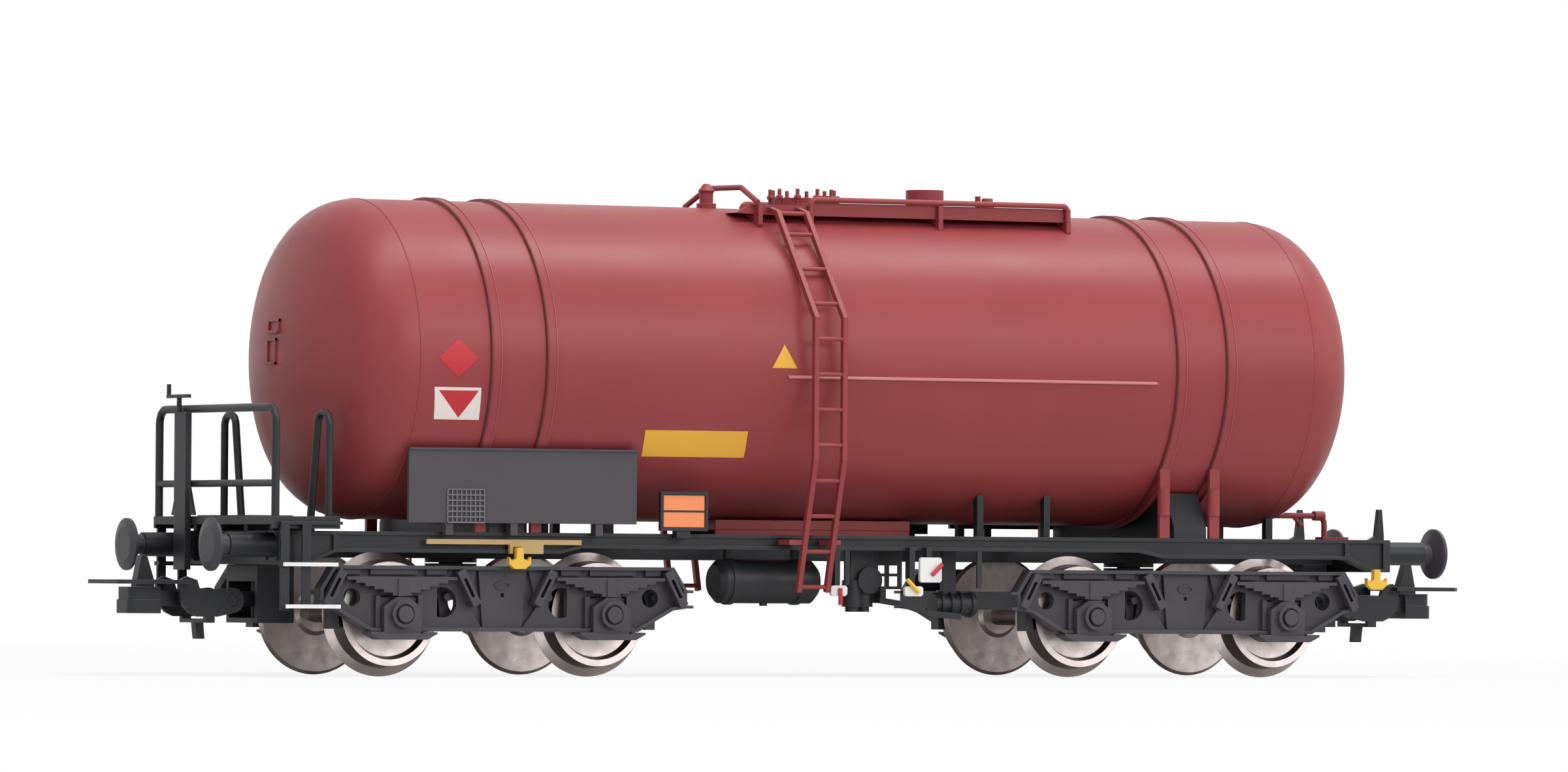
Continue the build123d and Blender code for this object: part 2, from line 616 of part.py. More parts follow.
def ladder_near():
    """Ladder with kinked flat stiles and round rungs, tied to the sole bar and the walkway."""
    pieces = []
    for x in LADDER_X:
        path = Polyline(*[(x, -y, z) for y, z in LADDER_PATH])
        section = Plane(origin=path @ 0, x_dir=(1, 0, 0), z_dir=path % 0) * Rectangle(STILE_WIDTH, STILE_DEPTH)
        pieces.append(sweep(section, path=path, transition=Transition.RIGHT))
    for index in range(RUNG_COUNT):
        z = RUNG_LOW_Z + index * RUNG_STEP
        y = -ladder_y(z)
        pieces.append(rod((LADDER_X[0], y, z), (LADDER_X[1], y, z), RUNG_RADIUS))
    top_y, top_z = LADDER_PATH[1]
    pieces.append(rod((LADDER_X[0], -top_y, top_z), (LADDER_X[1], -top_y, top_z), RUNG_RADIUS))
    z = (SOLE_TOP_Z + SOLE_MID_Z) / 2
    for x, reach in zip(LADDER_X, (-TAB_REACH[0], TAB_REACH[1])):
        span = sorted((x - STILE_WIDTH / 2 * (1 if reach > 0 else -1), x + reach))
        pieces.append(block(span, (-ladder_y(z), -SOLE_FLANGE_Y[1]), (z - 0.25, z + 0.25)))
    return joined(pieces)


def ladder_far():
    """The same ladder on the far side."""
    return far_side(ladder_near())


def sole_bar_far():
    """Sole bar: a channel that is deeper over the bogies and at the headstocks."""
    end = FRAME_HALF_LENGTH - HEADSTOCK
    under = [
        (-end, SOLE_GUSSET_Z),
        (-GUSSET_X[1], SOLE_GUSSET_Z),
        (-GUSSET_X[0], SOLE_END_Z),
        (SOLE_STEP_LEFT[0], SOLE_END_Z),
        (SOLE_STEP_LEFT[1], SOLE_MID_Z),
        (SOLE_STEP_RIGHT[0], SOLE_MID_Z),
        (SOLE_STEP_RIGHT[1], SOLE_END_Z),
        (GUSSET_X[0], SOLE_END_Z),
        (GUSSET_X[1], SOLE_GUSSET_Z),
        (end, SOLE_GUSSET_Z),
    ]
    web = side_plate([(-end, SOLE_TOP_Z)] + under + [(end, SOLE_TOP_Z)], SOLE_WEB_Y)
    raised = [(x, z + SOLE_FLANGE) for x, z in reversed(under)]
    foot = side_plate(under + raised, SOLE_FLANGE_Y)
    top = block((-end, end), SOLE_FLANGE_Y, (SOLE_TOP_Z - SOLE_FLANGE, SOLE_TOP_Z))
    ribs = []
    for x in (-GUSSET_X[0], GUSSET_X[0]):
        ribs.append(block((x - 0.25, x + 0.25), (SOLE_WEB_Y[0], SOLE_FLANGE_Y[1]), (SOLE_END_Z, SOLE_TOP_Z)))
    return joined([web, foot, top] + ribs)


def sole_bar_near():
    """The same sole bar on the near side."""
    return far_side(sole_bar_far())


def centre_sill():
    """Box sill along the middle of the frame."""
    end = FRAME_HALF_LENGTH - HEADSTOCK
    return block((-end, end), (-SILL_HALF, SILL_HALF), SILL_Z)


def cross_bearers():
    """Flat bearers between the centre sill and the sole bars."""
    pieces = []
    for x in BEARER_X:
        span = (x - BEARER / 2, x + BEARER / 2)
        pieces += both_sides(block(span, (-SOLE_WEB_Y[0], -SILL_HALF), BEARER_Z))
    return group(pieces)


def headstocks():
    """End plates of the frame."""
    plate = block(
        (FRAME_HALF_LENGTH - HEADSTOCK, FRAME_HALF_LENGTH),
        (-SOLE_FLANGE_Y[1], SOLE_FLANGE_Y[1]),
        (SOLE_GUSSET_Z, SOLE_TOP_Z),
    )
    return group([plate, other_end(plate)])


def body_bolsters():
    """Beams over the bogies, each with the pivot pin that the bogie turns on."""
    pieces = []
    for x in (-PIVOT_X, PIVOT_X):
        span = (x - BODY_BOLSTER_HALF, x + BODY_BOLSTER_HALF)
        arms = block(span, (-SOLE_WEB_Y[0], SOLE_WEB_Y[0]), (SOLE_END_Z + 0.4, BODY_BOLSTER_Z[1]))
        slot = block((span[0] - 1, span[1] + 1), (-SILL_HALF, SILL_HALF), (SILL_Z[0], SILL_Z[1]))
        plate = rod((x, 0, BODY_BOLSTER_Z[0]), (x, 0, SILL_Z[0]), CENTRE_PLATE_RADIUS)
        pin = rod((x, 0, PIVOT_LOW_Z), (x, 0, SILL_Z[0]), PIVOT_RADIUS)
        pieces += list((arms - slot).solids()) + [joined([plate, pin])]
    return group(pieces)


def buffer_places():
    """End sign and side sign of the four buffers."""
    return [(end, side) for end in (-1, 1) for side in (-1, 1)]


def buffer_barrels():
    """Square feet and barrels of the buffers."""
    pieces = []
    for end, side in buffer_places():
        y = side * BUFFER_Y
        foot_x = sorted((end * FRAME_HALF_LENGTH, end * (FRAME_HALF_LENGTH + BUFFER_BASE_DEPTH)))
        foot = block(foot_x, (y - BUFFER_BASE, y + BUFFER_BASE), (BUFFER_Z - BUFFER_BASE, BUFFER_Z + 1.4))
        barrel = rod((end * FRAME_HALF_LENGTH, y, BUFFER_Z), (end * BUFFER_BARREL_END, y, BUFFER_Z), BUFFER_BARREL_RADIUS)
        pieces.append(joined([foot, barrel]))
    return group(pieces)


def buffer_heads():
    """Shanks and slightly domed heads of the buffers."""
    rim = BUFFER_FACE_X - BUFFER_HEAD_DEPTH
    pieces = []
    for end, side in buffer_places():
        y = side * BUFFER_Y
        outline = [
            (BUFFER_BARREL_END, 0),
            (BUFFER_BARREL_END, BUFFER_SHANK_RADIUS),
            (rim - 0.5, BUFFER_SHANK_RADIUS),
            (rim, BUFFER_HEAD_RADIUS - 0.2),
            (rim + 0.1, BUFFER_HEAD_RADIUS),
            (rim + 0.4, BUFFER_HEAD_RADIUS),
            (BUFFER_FACE_X, BUFFER_HEAD_RADIUS - 0.9),
            (BUFFER_FACE_X, 0),
        ]
        points = [(end * x, y, BUFFER_Z + r) for x, r in outline]
        pieces.append(spun(points, Axis((0, y, BUFFER_Z), (1, 0, 0))))
    return group(pieces)


def brake_platform():
    """Deck of the brake platform with turned-down edges, on bearers over the headstock."""
    deck = block(DECK_X, (-DECK_HALF, DECK_HALF), DECK_Z)
    edge = block(DECK_X, (-DECK_HALF, -DECK_HALF + 0.4), (DECK_EDGE_Z, DECK_Z[1]))
    bearers = []
    for y in DECK_BEARER_Y:
        bearers.append(block((-FRAME_HALF_LENGTH, DECK_X[1] - 0.5), (y - 0.4, y + 0.4), (SOLE_TOP_Z, DECK_Z[0])))
    return joined([deck] + both_sides(edge) + bearers)


def end_railing():
    """Railing across the platform's end: a bent tube with a lower bar."""
    y = RAILING_HALF
    x = RAILING_X
    low = DECK_Z[1]
    frame = bent_rod([(x, -y, low), (x, -y, RAILING_TOP_Z), (x, y, RAILING_TOP_Z), (x, y, low)], 1.4, RAILING_RADIUS)
    bar = rod((x, -y, RAILING_MID_Z), (x, y, RAILING_MID_Z), RAILING_RADIUS - 0.05)
    return joined([frame, bar])


def brake_post():
    """Channel that houses the brake spindle, outside the railing, with gussets at the deck."""
    shell = block(POST_X, POST_Y, POST_Z)
    hollow = block((POST_X[0] + 0.3, POST_X[1]), (POST_Y[0] + 0.35, POST_Y[1] - 0.35), (POST_Z[0] + 1.0, POST_Z[1] - 0.5))
    post = shell - hollow
    gussets = []
    for y, way in ((POST_Y[0], -1), (POST_Y[1], 1)):
        outline = [(y, DECK_Z[1] + 0.1), (y, DECK_Z[1] + 3.1), (y + way * 1.3, DECK_Z[1] + 0.1)]
        gussets.append(cross_plate(outline, (POST_X[1] - 0.35, POST_X[1])))
    return joined([post] + gussets)


def brake_crank():
    """Crank on top of the brake post."""
    x = (POST_X[0] + POST_X[1]) / 2
    y = CRANK_Y
    spindle = rod((x, y, POST_Z[1]), (x, y, CRANK_Z), 0.25)
    arm = block((x - 0.2, x + 0.2), (y - 2.4, y + 2.7), (CRANK_Z - 0.15, CRANK_Z + 0.2))
    grip = rod((x, y + 2.5, CRANK_Z), (x, y + 2.5, CRANK_Z + 1.25), 0.22)
    return joined([spindle, arm, grip])


def hand_hoops():
    """Hooped grab rails at the platform's inner edge."""
    points = [
        (HOOP_X, -HOOP_OUT_Y, DECK_Z[1]),
        (HOOP_X, -HOOP_OUT_Y, HOOP_TOP_Z),
        (HOOP_X, -HOOP_IN_Y[1], HOOP_TOP_Z),
        (HOOP_X, -HOOP_IN_Y[0], DECK_Z[1]),
    ]
    deck = block(DECK_X, (-DECK_HALF, DECK_HALF), DECK_Z)
    return group(both_sides(bent_rod(points, 1.1, HOOP_RADIUS) - deck))


def steps_near():
    """Two hung steps below the platform."""
    low = STEP_Z[1]
    pieces = []
    for x in STEP_STRAP_X:
        corners = [(x - 0.1, DECK_Z[0]), (x + STEP_STRAP, DECK_Z[0]), (x + STEP_STRAP, low - 0.2), (x - 0.1, low - 0.2)]
        pieces.append(side_plate(corners, (-STEP_STRAP_Y[1], -STEP_STRAP_Y[0])))
    for z, inner, outer in zip(STEP_Z, (DECK_HALF, STEP_STRAP_Y[0]), STEP_OUT_Y):
        pieces.append(block(STEP_X, (-outer, -inner), (z, z + STEP_DEPTH)))
    pieces.append(block((STEP_X[0], DECK_X[1]), (-STEP_STRAP_Y[1], -DECK_HALF), (DECK_Z[0], DECK_Z[0] + 0.3)))
    return joined(pieces)


def steps_far():
    """The same steps on the far side."""
    return far_side(steps_near())


def air_reservoir():
    """Air reservoir with chamfered ends and a drain nub, hung by two straps."""
    shell = rod((RESERVOIR_X[0], RESERVOIR_Y, RESERVOIR_Z), (RESERVOIR_X[1], RESERVOIR_Y, RESERVOIR_Z), RESERVOIR_RADIUS)
    pieces = [chamfer(shell.edges().filter_by(GeomType.CIRCLE), RESERVOIR_CHAMFER)]
    for x in RESERVOIR_STRAP_X:
        band = rod((x - 0.3, RESERVOIR_Y, RESERVOIR_Z), (x + 0.3, RESERVOIR_Y, RESERVOIR_Z), RESERVOIR_RADIUS + 0.15)
        pieces.append(band)
        pieces.append(block((x - 0.3, x + 0.3), (RESERVOIR_Y - 0.4, RESERVOIR_Y + 0.4), (RESERVOIR_Z, BEARER_Z[0])))
    shelf = (RESERVOIR_STRAP_X[0] - 0.3, RESERVOIR_STRAP_X[1] + 0.3)
    pieces.append(block(shelf, (-SOLE_FLANGE_Y[0], RESERVOIR_Y + 0.4), (BEARER_Z[0] - 0.35, BEARER_Z[0])))
    nub_x = sum(RESERVOIR_X) / 2
    nub_z = RESERVOIR_Z - RESERVOIR_RADIUS
    pieces.append(rod((nub_x, RESERVOIR_Y, nub_z - 0.25), (nub_x, RESERVOIR_Y, nub_z + 0.4), 0.4))
    return joined(pieces)


def brake_cylinder():
    """Ribbed brake cylinder hung from the frame."""
    shell = rod((CYLINDER_X[0], CYLINDER_Y, CYLINDER_Z), (CYLINDER_X[1], CYLINDER_Y, CYLINDER_Z), CYLINDER_RADIUS)
    pieces = [shell]
    for x in CYLINDER_RIBS_X:
        pieces.append(rod((x - 0.15, CYLINDER_Y, CYLINDER_Z), (x + 0.15, CYLINDER_Y, CYLINDER_Z), CYLINDER_RADIUS + 0.2))
    pieces.append(block(CYLINDER_HANGER_X, (CYLINDER_Y - 0.4, CYLINDER_Y + 0.4), (CYLINDER_Z, BEARER_Z[0])))
    pieces.append(block(CYLINDER_BEARER_X, (-SOLE_FLANGE_Y[0], -SILL_HALF), (BEARER_Z[0] - 0.35, BEARER_Z[0])))
    return joined(pieces)


def brake_rigging():
    """Distributor with its bowls, windowed carrier plate, long lever and the straps behind the sole bar."""
    y = RESERVOIR_Y
    x, z = VALVE_BODY
    pieces = [rod((x, y - 1.3, z), (x, y + 1.0, z), VALVE_BODY_RADIUS)]
    pieces.append(block((x - 1.9, x + 1.2), (y - 0.7, y + 0.7), (z, BEARER_Z[0])))
    for bowl_x, radius in BOWLS:
        pieces.append(rod((bowl_x, y, BOWL_LOW_Z + 0.5), (bowl_x, y, z), radius))
        pieces.append(rod((bowl_x, y, BOWL_LOW_Z), (bowl_x, y, BOWL_LOW_Z + 0.5), radius - 0.35))
    plate = block(WINDOW_PLATE_X, (y - 0.25, y + 0.25), (WINDOW_PLATE_Z[0], BEARER_Z[0]))
    middle_x = sum(WINDOW_PLATE_X) / 2
    for low_x, high_x in ((WINDOW_PLATE_X[0] + 0.3, middle_x - 0.15), (middle_x + 0.15, WINDOW_PLATE_X[1] - 0.3)):
        for low_z, high_z in ((0.3, 1.3), (1.6, 2.4)):
            window_z = (WINDOW_PLATE_Z[0] + low_z, WINDOW_PLATE_Z[0] + high_z)
            plate -= block((low_x, high_x), (y - 1, y + 1), window_z)
    pieces.append(plate)
    upper = [(px, LEVER_Z + pz + 0.3) for px, pz in LEVER_LINE]
    lower = [(px, LEVER_Z + pz - 0.3) for px, pz in reversed(LEVER_LINE)]
    pieces.append(side_plate(upper + lower, (y - 1.75, y - 1.25)))
    pieces.append(block((WINDOW_PLATE_X[0], WINDOW_PLATE_X[0] + 0.6), (y - 1.75, y + 0.25), (LEVER_Z - 0.3, WINDOW_PLATE_Z[0] + 0.3)))
    pieces.append(block((VALVE_BODY[0], WINDOW_PLATE_X[1]), (y - 0.5, y + 0.5), (BEARER_Z[0] - 0.35, BEARER_Z[0])))
    pieces.append(block((VALVE_BODY[0], WINDOW_PLATE_X[1]), (-SOLE_FLANGE_Y[0], y), (BEARER_Z[0] - 0.35, BEARER_Z[0])))
    return joined(pieces)


def gear_straps():
    """Flat straps that hang from the near sole bar, with the feet of the change-over plates."""
    pieces = []
    for x, foot in zip(STRAP_X, STRAP_FOOT_Z):
        pieces.append(block((x - 0.25, x + 0.25), (-STRAP_Y[1], -STRAP_Y[0]), (foot, SOLE_MID_Z)))
    for x, z, half_x, half_z in PLATES:
        pieces.append(block((x - 0.3, x + 0.3), (-PLATE_Y[0], -SOLE_FLANGE_Y[1]), (z, SOLE_MID_Z + SOLE_FLANGE)))
    return group(pieces)


def changeover_plates():
    """Small blank plates with rounded corners below the near sole bar."""
    pieces = []
    for x, z, half_x, half_z in PLATES:
        plate = block((x - half_x, x + half_x), (-PLATE_Y[1], -PLATE_Y[0]), (z - half_z, z + half_z))
        pieces.append(chamfer(plate.edges().filter_by(Axis.Y), PLATE_CORNER))
    return group(pieces)


def changeover_levers():
    """Small levers on the change-over plates."""
    pieces = []
    for (x_1, z_1), (x_2, z_2) in LEVERS:
        start = (x_1, -PLATE_Y[1] - LEVER_RADIUS, SOLE_TOP_Z + z_1)
        end = (x_2, -PLATE_Y[1] - LEVER_RADIUS, SOLE_TOP_Z + z_2)
        pieces.append(rod(start, end, LEVER_RADIUS))
    return group(pieces)


def tank_struts():
    """Short posts between the frame and the tank's belly."""
    tank = tank_body(SADDLE_GAP)
    pieces = []
    for x, y, width in STRUTS:
        post = block((x - width / 2, x + width / 2), (-y - 0.4, -y + 0.4), (BEARER_Z[0], TANK_Z)) - tank
        bearer = block((x - width / 2, x + width / 2), (-SOLE_WEB_Y[0], -SILL_HALF), BEARER_Z)
        pieces += both_sides(joined([post.solids().sort_by(Axis.Z)[0], bearer]))
    return group(pieces)


def belly_strip():
    """Flat walkable strip under the tank, behind the ladders."""
    strip = block(STRIP_UNDER_X, (-STRIP_UNDER_Y, STRIP_UNDER_Y), STRIP_UNDER_Z) - tank_body(SADDLE_GAP)
    feet = [block((x - 0.4, x + 0.4), (-SILL_HALF, SILL_HALF), (SILL_Z[1], STRIP_UNDER_Z[0] + 0.1)) for x in (-8.0, 8.0)]
    return joined([strip] + feet)


def drain_pipe():
    """Thin drain pipe from the tank's end with its fitting and foot."""
    end = FRAME_HALF_LENGTH
    run = bent_rod([(end - 11.0, DRAIN_Y, DRAIN_Z), (end - 3.3, DRAIN_Y, DRAIN_Z), (end - 3.3, DRAIN_Y, SOLE_TOP_Z)], 0.8, 0.3)
    fitting = rod((end - 4.6, DRAIN_Y, DRAIN_Z), (end - 3.4, DRAIN_Y, DRAIN_Z), 0.5)
    foot = block((end - 3.9, end - HEADSTOCK), (DRAIN_Y - 0.8, DRAIN_Y + 0.8), (SOLE_TOP_Z - 0.4, SOLE_TOP_Z + 0.3))
    return joined([run, fitting, foot]) - tank_body(SADDLE_GAP)


def lamp_irons():
    """Tapered lamp brackets on the headstock away from the platform."""
    outline = [(0.0, -0.8), (2.0, -0.2), (2.0, 0.4), (1.75, 3.2), (1.35, 3.2), (1.0, 0.4), (0.0, -0.1)]
    points = [(FRAME_HALF_LENGTH + px, SOLE_TOP_Z + pz) for px, pz in outline]
    return group(both_sides(side_plate(points, (-LAMP_IRON_Y - 0.3, -LAMP_IRON_Y + 0.3))))


def label_board_near():
    """Board for the wagon's lettering, with a top lip, on stubs from the sole bar."""
    board = block(BOARD_X, (-BOARD_Y[1], -BOARD_Y[0]), BOARD_Z)
    lip = block(BOARD_X, (-BOARD_Y[1] - 0.15, -BOARD_Y[0]), (BOARD_Z[1] - 0.25, BOARD_Z[1]))
    pieces = [board, lip]
    for x in BOARD_STUBS_X:
        stub_z = (SOLE_TOP_Z - 0.3, BOARD_Z[0] + 0.8)
        pieces.append(block((x - 0.4, x + 0.4), (-BOARD_Y[1] + 0.1, -SOLE_FLANGE_Y[1]), stub_z))
    return joined(pieces)


def label_board_far():
    """The same board on the far side."""
    return far_side(other_end(label_board_near()))


def plate_holders():
    """Framed holders for the two small plates on the sole bars."""
    out, back = PLATE_HOLDER_Y[1], PLATE_HOLDER_Y[0]
    frame = block(PLATE_X, (-out, -back), PLATE_Z)
    recess_x = (PLATE_X[0] + 0.3, PLATE_X[1] - 0.3)
    recess = block(recess_x, (-out, -out + 0.2), (PLATE_Z[0] + 0.3, PLATE_Z[1] - 0.3))
    middle = (PLATE_X[0] + PLATE_X[1]) / 2
    foot = block((middle - 0.75, middle + 0.75), (-out + 0.2, -SOLE_FLANGE_Y[1]), (SOLE_TOP_Z - 0.4, PLATE_Z[0] + 0.6))
    near = joined([frame - recess, foot])
    return group([near, far_side(other_end(near))])


def tow_hooks():
    """Anchor-shaped hooks for a hauling rope below the sole bars."""
    outline = [
        (-0.35, 0.3),
        (0.35, 0.3),
        (0.4, -0.8),
        (0.9, -1.0),
        (1.2, -0.6),
        (1.2, -1.3),
        (0.6, -1.8),
        (-0.6, -1.8),
        (-1.2, -1.3),
        (-1.2, -0.6),
        (-0.9, -1.0),
        (-0.4, -0.8),
    ]
    pieces = []
    for x, z, y in HOOK_PLACES:
        hook = side_plate([(x + px, z + pz) for px, pz in outline], (-y - 0.6, -y))
        tongue = block((x - 0.35, x + 0.35), (-y, -SOLE_FLANGE_Y[1]), (z - 0.1, z + 0.25))
        pieces += both_sides(joined([hook, tongue]))
    return group(pieces)


def lever_bars():
    """Long flat release bars on the sole bars with a small plate."""
    bar_z = (SOLE_TOP_Z - 1.2, SOLE_TOP_Z - 0.7)
    hook_x = HOOK_PLACES[0][0]
    back = -SOLE_FLANGE_Y[1]
    bar = block((hook_x - 9.95, hook_x + 7.05), (back - 0.5, back - 0.2), bar_z)
    tab = block((hook_x - 0.85, hook_x + 2.85), (back - 0.5, back), (bar_z[0] - 0.9, bar_z[1]))
    slot = block((hook_x - 0.5, hook_x + 0.5), (back - 1, back + 1), (bar_z[0] - 1.1, HOOK_PLACES[0][1] + 0.35))
    return group(both_sides(joined([bar, tab - slot])))


def coupler_mounts():
    """Open-ended housings under the headstocks, each with the pin that a coupler swings on."""
    outer = block(HOUSING_X, (-HOUSING_HALF, HOUSING_HALF), (HOUSING_Z[0], SILL_Z[0]))
    inner_half = HOUSING_HALF - HOUSING_WALL
    inside = block(
        (HOUSING_X[0] - 1, HOUSING_X[1] + 1),
        (-inner_half, inner_half),
        (HOUSING_Z[0] + HOUSING_WALL, SHANK_Z[1] + 1.0),
    )
    under_stock = block((HOUSING_X[0], HOUSING_X[1] + 1), (-HOUSING_HALF, HOUSING_HALF), (HOUSING_Z[1], SILL_Z[0]))
    housing = outer - inside - under_stock
    neck = block((HOUSING_X[0] + 0.6, HOUSING_X[1] - 0.5), (-SILL_HALF, SILL_HALF), (HOUSING_Z[1] - 0.2, SILL_Z[0]))
    pin = rod((SWING_X, 0, HOUSING_Z[0] + 0.1), (SWING_X, 0, HOUSING_Z[1]), SWING_PIN_RADIUS)
    mount = joined([housing, neck, pin])
    return group([mount, other_end(mount)])


def coupler_head_right():
    """Swinging coupler: eye, shank, bearing pin for the bail, rounded head in two halves and a tapered hook."""
    eye = rod((SWING_X, 0, SHANK_Z[0]), (SWING_X, 0, SHANK_Z[1]), 1.6)
    shank = block((SWING_X, HEAD_X[0] + 0.3), (-SHANK_HALF, SHANK_HALF), SHANK_Z)
    upper = block((HEAD_X[0], HEAD_X[1] - 0.15), (-HEAD_HALF + 0.1, HEAD_HALF - 0.1), (HEAD_SEAM_Z, HEAD_Z[1]))
    lower = block(HEAD_X, (-HEAD_HALF, HEAD_HALF), (HEAD_Z[0], HEAD_SEAM_Z))
    halves = []
    for half in (upper, lower):
        fronts = half.edges().filter_by(Axis.Z).group_by(Axis.X)[-1]
        halves.append(fillet(fronts, HEAD_ROUND))
    root = HEAD_Z[1] - 0.1
    hook = side_plate(
        [
            (HEAD_X[0] + 0.1, root),
            (HEAD_X[0] + 2.1, root),
            (HEAD_X[0] + 2.0, root + 0.7),
            (HEAD_X[0] + 1.5, HOOK_TOP_Z),
            (HEAD_X[0] + 0.9, HOOK_TOP_Z),
            (HEAD_X[0] + 0.1, root + 0.7),
        ],
        (-0.6, 0.6),
    )
    pin = rod((BAIL_X, -BAIL_ARM_Y[1], BAIL_Z), (BAIL_X, BAIL_ARM_Y[1], BAIL_Z), BAIL_PIN_RADIUS)
    bore = rod((SWING_X, 0, SHANK_Z[0] - 1), (SWING_X, 0, SHANK_Z[1] + 1), SWING_PIN_RADIUS + SWING_GAP)
    return joined([eye, shank] + halves + [hook, pin]) - bore


def coupler_head_left():
    """The same coupler at the platform end."""
    return other_end(coupler_head_right())


def bail_right():
    """Coupling bail: two arms on the coupler's pin, a flat loop in front and a trip pin below."""
    arm_y = (-BAIL_ARM_Y[1], -BAIL_ARM_Y[0])
    outline = [
        (0.0, -1.25),
        (0.0, 1.2),
        (3.5, 1.1),
        (3.8, 2.0),
        (4.9, 2.35),
        (5.6, 2.0),
        (5.6, 0.4),
        (5.2, -0.6),
        (4.6, -1.2),
        (3.7, -1.6),
        (1.6, -1.6),
    ]
    arm = side_plate([(BAIL_X + px, BAIL_Z + pz) for px, pz in outline], arm_y)
    boss = rod((BAIL_X, arm_y[0], BAIL_Z), (BAIL_X, arm_y[1], BAIL_Z), BAIL_BOSS_RADIUS)
    sides = both_sides(joined([arm, boss]))
    loop = block((BAIL_X + 4.8, BAIL_TIP_X), (-LOOP_HALF, LOOP_HALF), LOOP_Z)
    corners = loop.edges().filter_by(Axis.Z).group_by(Axis.X)[-1]
    loop = chamfer(corners, 0.7)
    window_y = (-LOOP_HALF + 1.0, LOOP_HALF - 1.0)
    window = block((BAIL_X + 6.2, BAIL_TIP_X - 0.8), window_y, (LOOP_Z[0] - 1, LOOP_Z[1] + 1))
    tabs = [(-BAIL_ARM_Y[1], -1.2), (-BAIL_ARM_Y[0], -1.2), (-BAIL_ARM_Y[0], -1.8)]
    crossbar = tabs + [(-y, z) for y, z in reversed(tabs)] + [(BAIL_ARM_Y[1], -2.2), (-BAIL_ARM_Y[1], -2.2)]
    web = cross_plate([(y, BAIL_Z + z) for y, z in crossbar], (BAIL_X + 1.9, BAIL_X + 2.9))
    trip_points = [(1.95, -2.1), (2.85, -2.1), (2.65, -3.8), (1.8, -3.8)]
    trip = side_plate([(BAIL_X + px, BAIL_Z + pz) for px, pz in trip_points], (-0.5, 0.5))
    bore = rod((BAIL_X, -LOOP_HALF, BAIL_Z), (BAIL_X, LOOP_HALF, BAIL_Z), BAIL_PIN_RADIUS + BAIL_GAP)
    return joined(sides + [loop - window, web, trip]) - bore


def bail_left():
    """The same bail at the platform end."""
    return other_end(bail_right())


def side_frame():
    """Near side frame of a bogie about its pivot: flanges, guides, hangers, holes and the recessed middle."""
    half = [
        (FRAME_TOP_HALF, FRAME_TOP_Z),
        (FRAME_TIP_HALF, FRAME_TIP_Z[1]),
        (FRAME_TIP_HALF, FRAME_TIP_Z[0]),
        (FRAME_KINK_HALF, FRAME_KINK_Z),
        (FRAME_FOOT_HALF, FRAME_FOOT_Z),
    ]
    whole = half + [(-x, z) for x, z in reversed(half)]
    web = side_plate(whole, (-SIDE_FRAME_Y[1], -SIDE_FRAME_Y[0]))
    rim = frame_rim(whole)
    pieces = [web, rim]
    for side in (-1, 1):
        axle = side * AXLE_SPACING / 2
        pieces += [hanger(axle, way) for way in (-1, 1)]
        for low, high in STRIP_X:
            span = sorted((axle + side * low, axle + side * high))
            strip_z = (FRAME_TOP_Z - FRAME_FLANGE - STRIP_DEPTH, FRAME_TOP_Z - FRAME_FLANGE)
            pieces.append(block(span, (-STRIP_Y, -SIDE_FRAME_Y[1]), strip_z))
        for way in (-1, 1):
            guide = sorted((axle + way * HORN_HALF, axle + way * (HORN_HALF + GUIDE_WIDTH)))
            pieces.append(block(guide, (-GUIDE_Y, -SIDE_FRAME_Y[0]), (FRAME_FOOT_Z + 0.4, HORN_TOP_Z)))
    frame = joined(pieces) - side_frame_cuts()
    return joined([frame, panel_ring()])


def frame_rim(outline):
    """Flange that stands out from the side frame along its whole outline."""
    face = make_face(Polyline(*[(x, -FRAME_FLANGE_Y, z) for x, z in outline], close=True))
    inner = offset(face, amount=-FRAME_FLANGE, kind=Kind.INTERSECTION)
    return extrude(face - inner, amount=FRAME_FLANGE_Y - SIDE_FRAME_Y[0], dir=(0, 1, 0))


def hanger(axle, way):
    """Slotted spring hanger between two pins, to one side of an axle."""
    top = Vector(axle + way * HANGER_TOP[0], -HANGER_Y, HANGER_TOP[1])
    low = Vector(axle + way * HANGER_LOW[0], -HANGER_Y, HANGER_LOW[1])
    run = low - top
    middle = (top + low) / 2
    plane = Plane(origin=middle, x_dir=run, z_dir=(0, 1, 0))
    link = plane * Rectangle(run.length + 2 * HANGER_HALF, 2 * HANGER_HALF)
    slot = plane * Rectangle(run.length - 2 * HANGER_HALF, 2 * HANGER_SLOT_HALF)
    return extrude(link - slot, amount=HANGER_Y - SIDE_FRAME_Y[1], dir=(0, 1, 0))


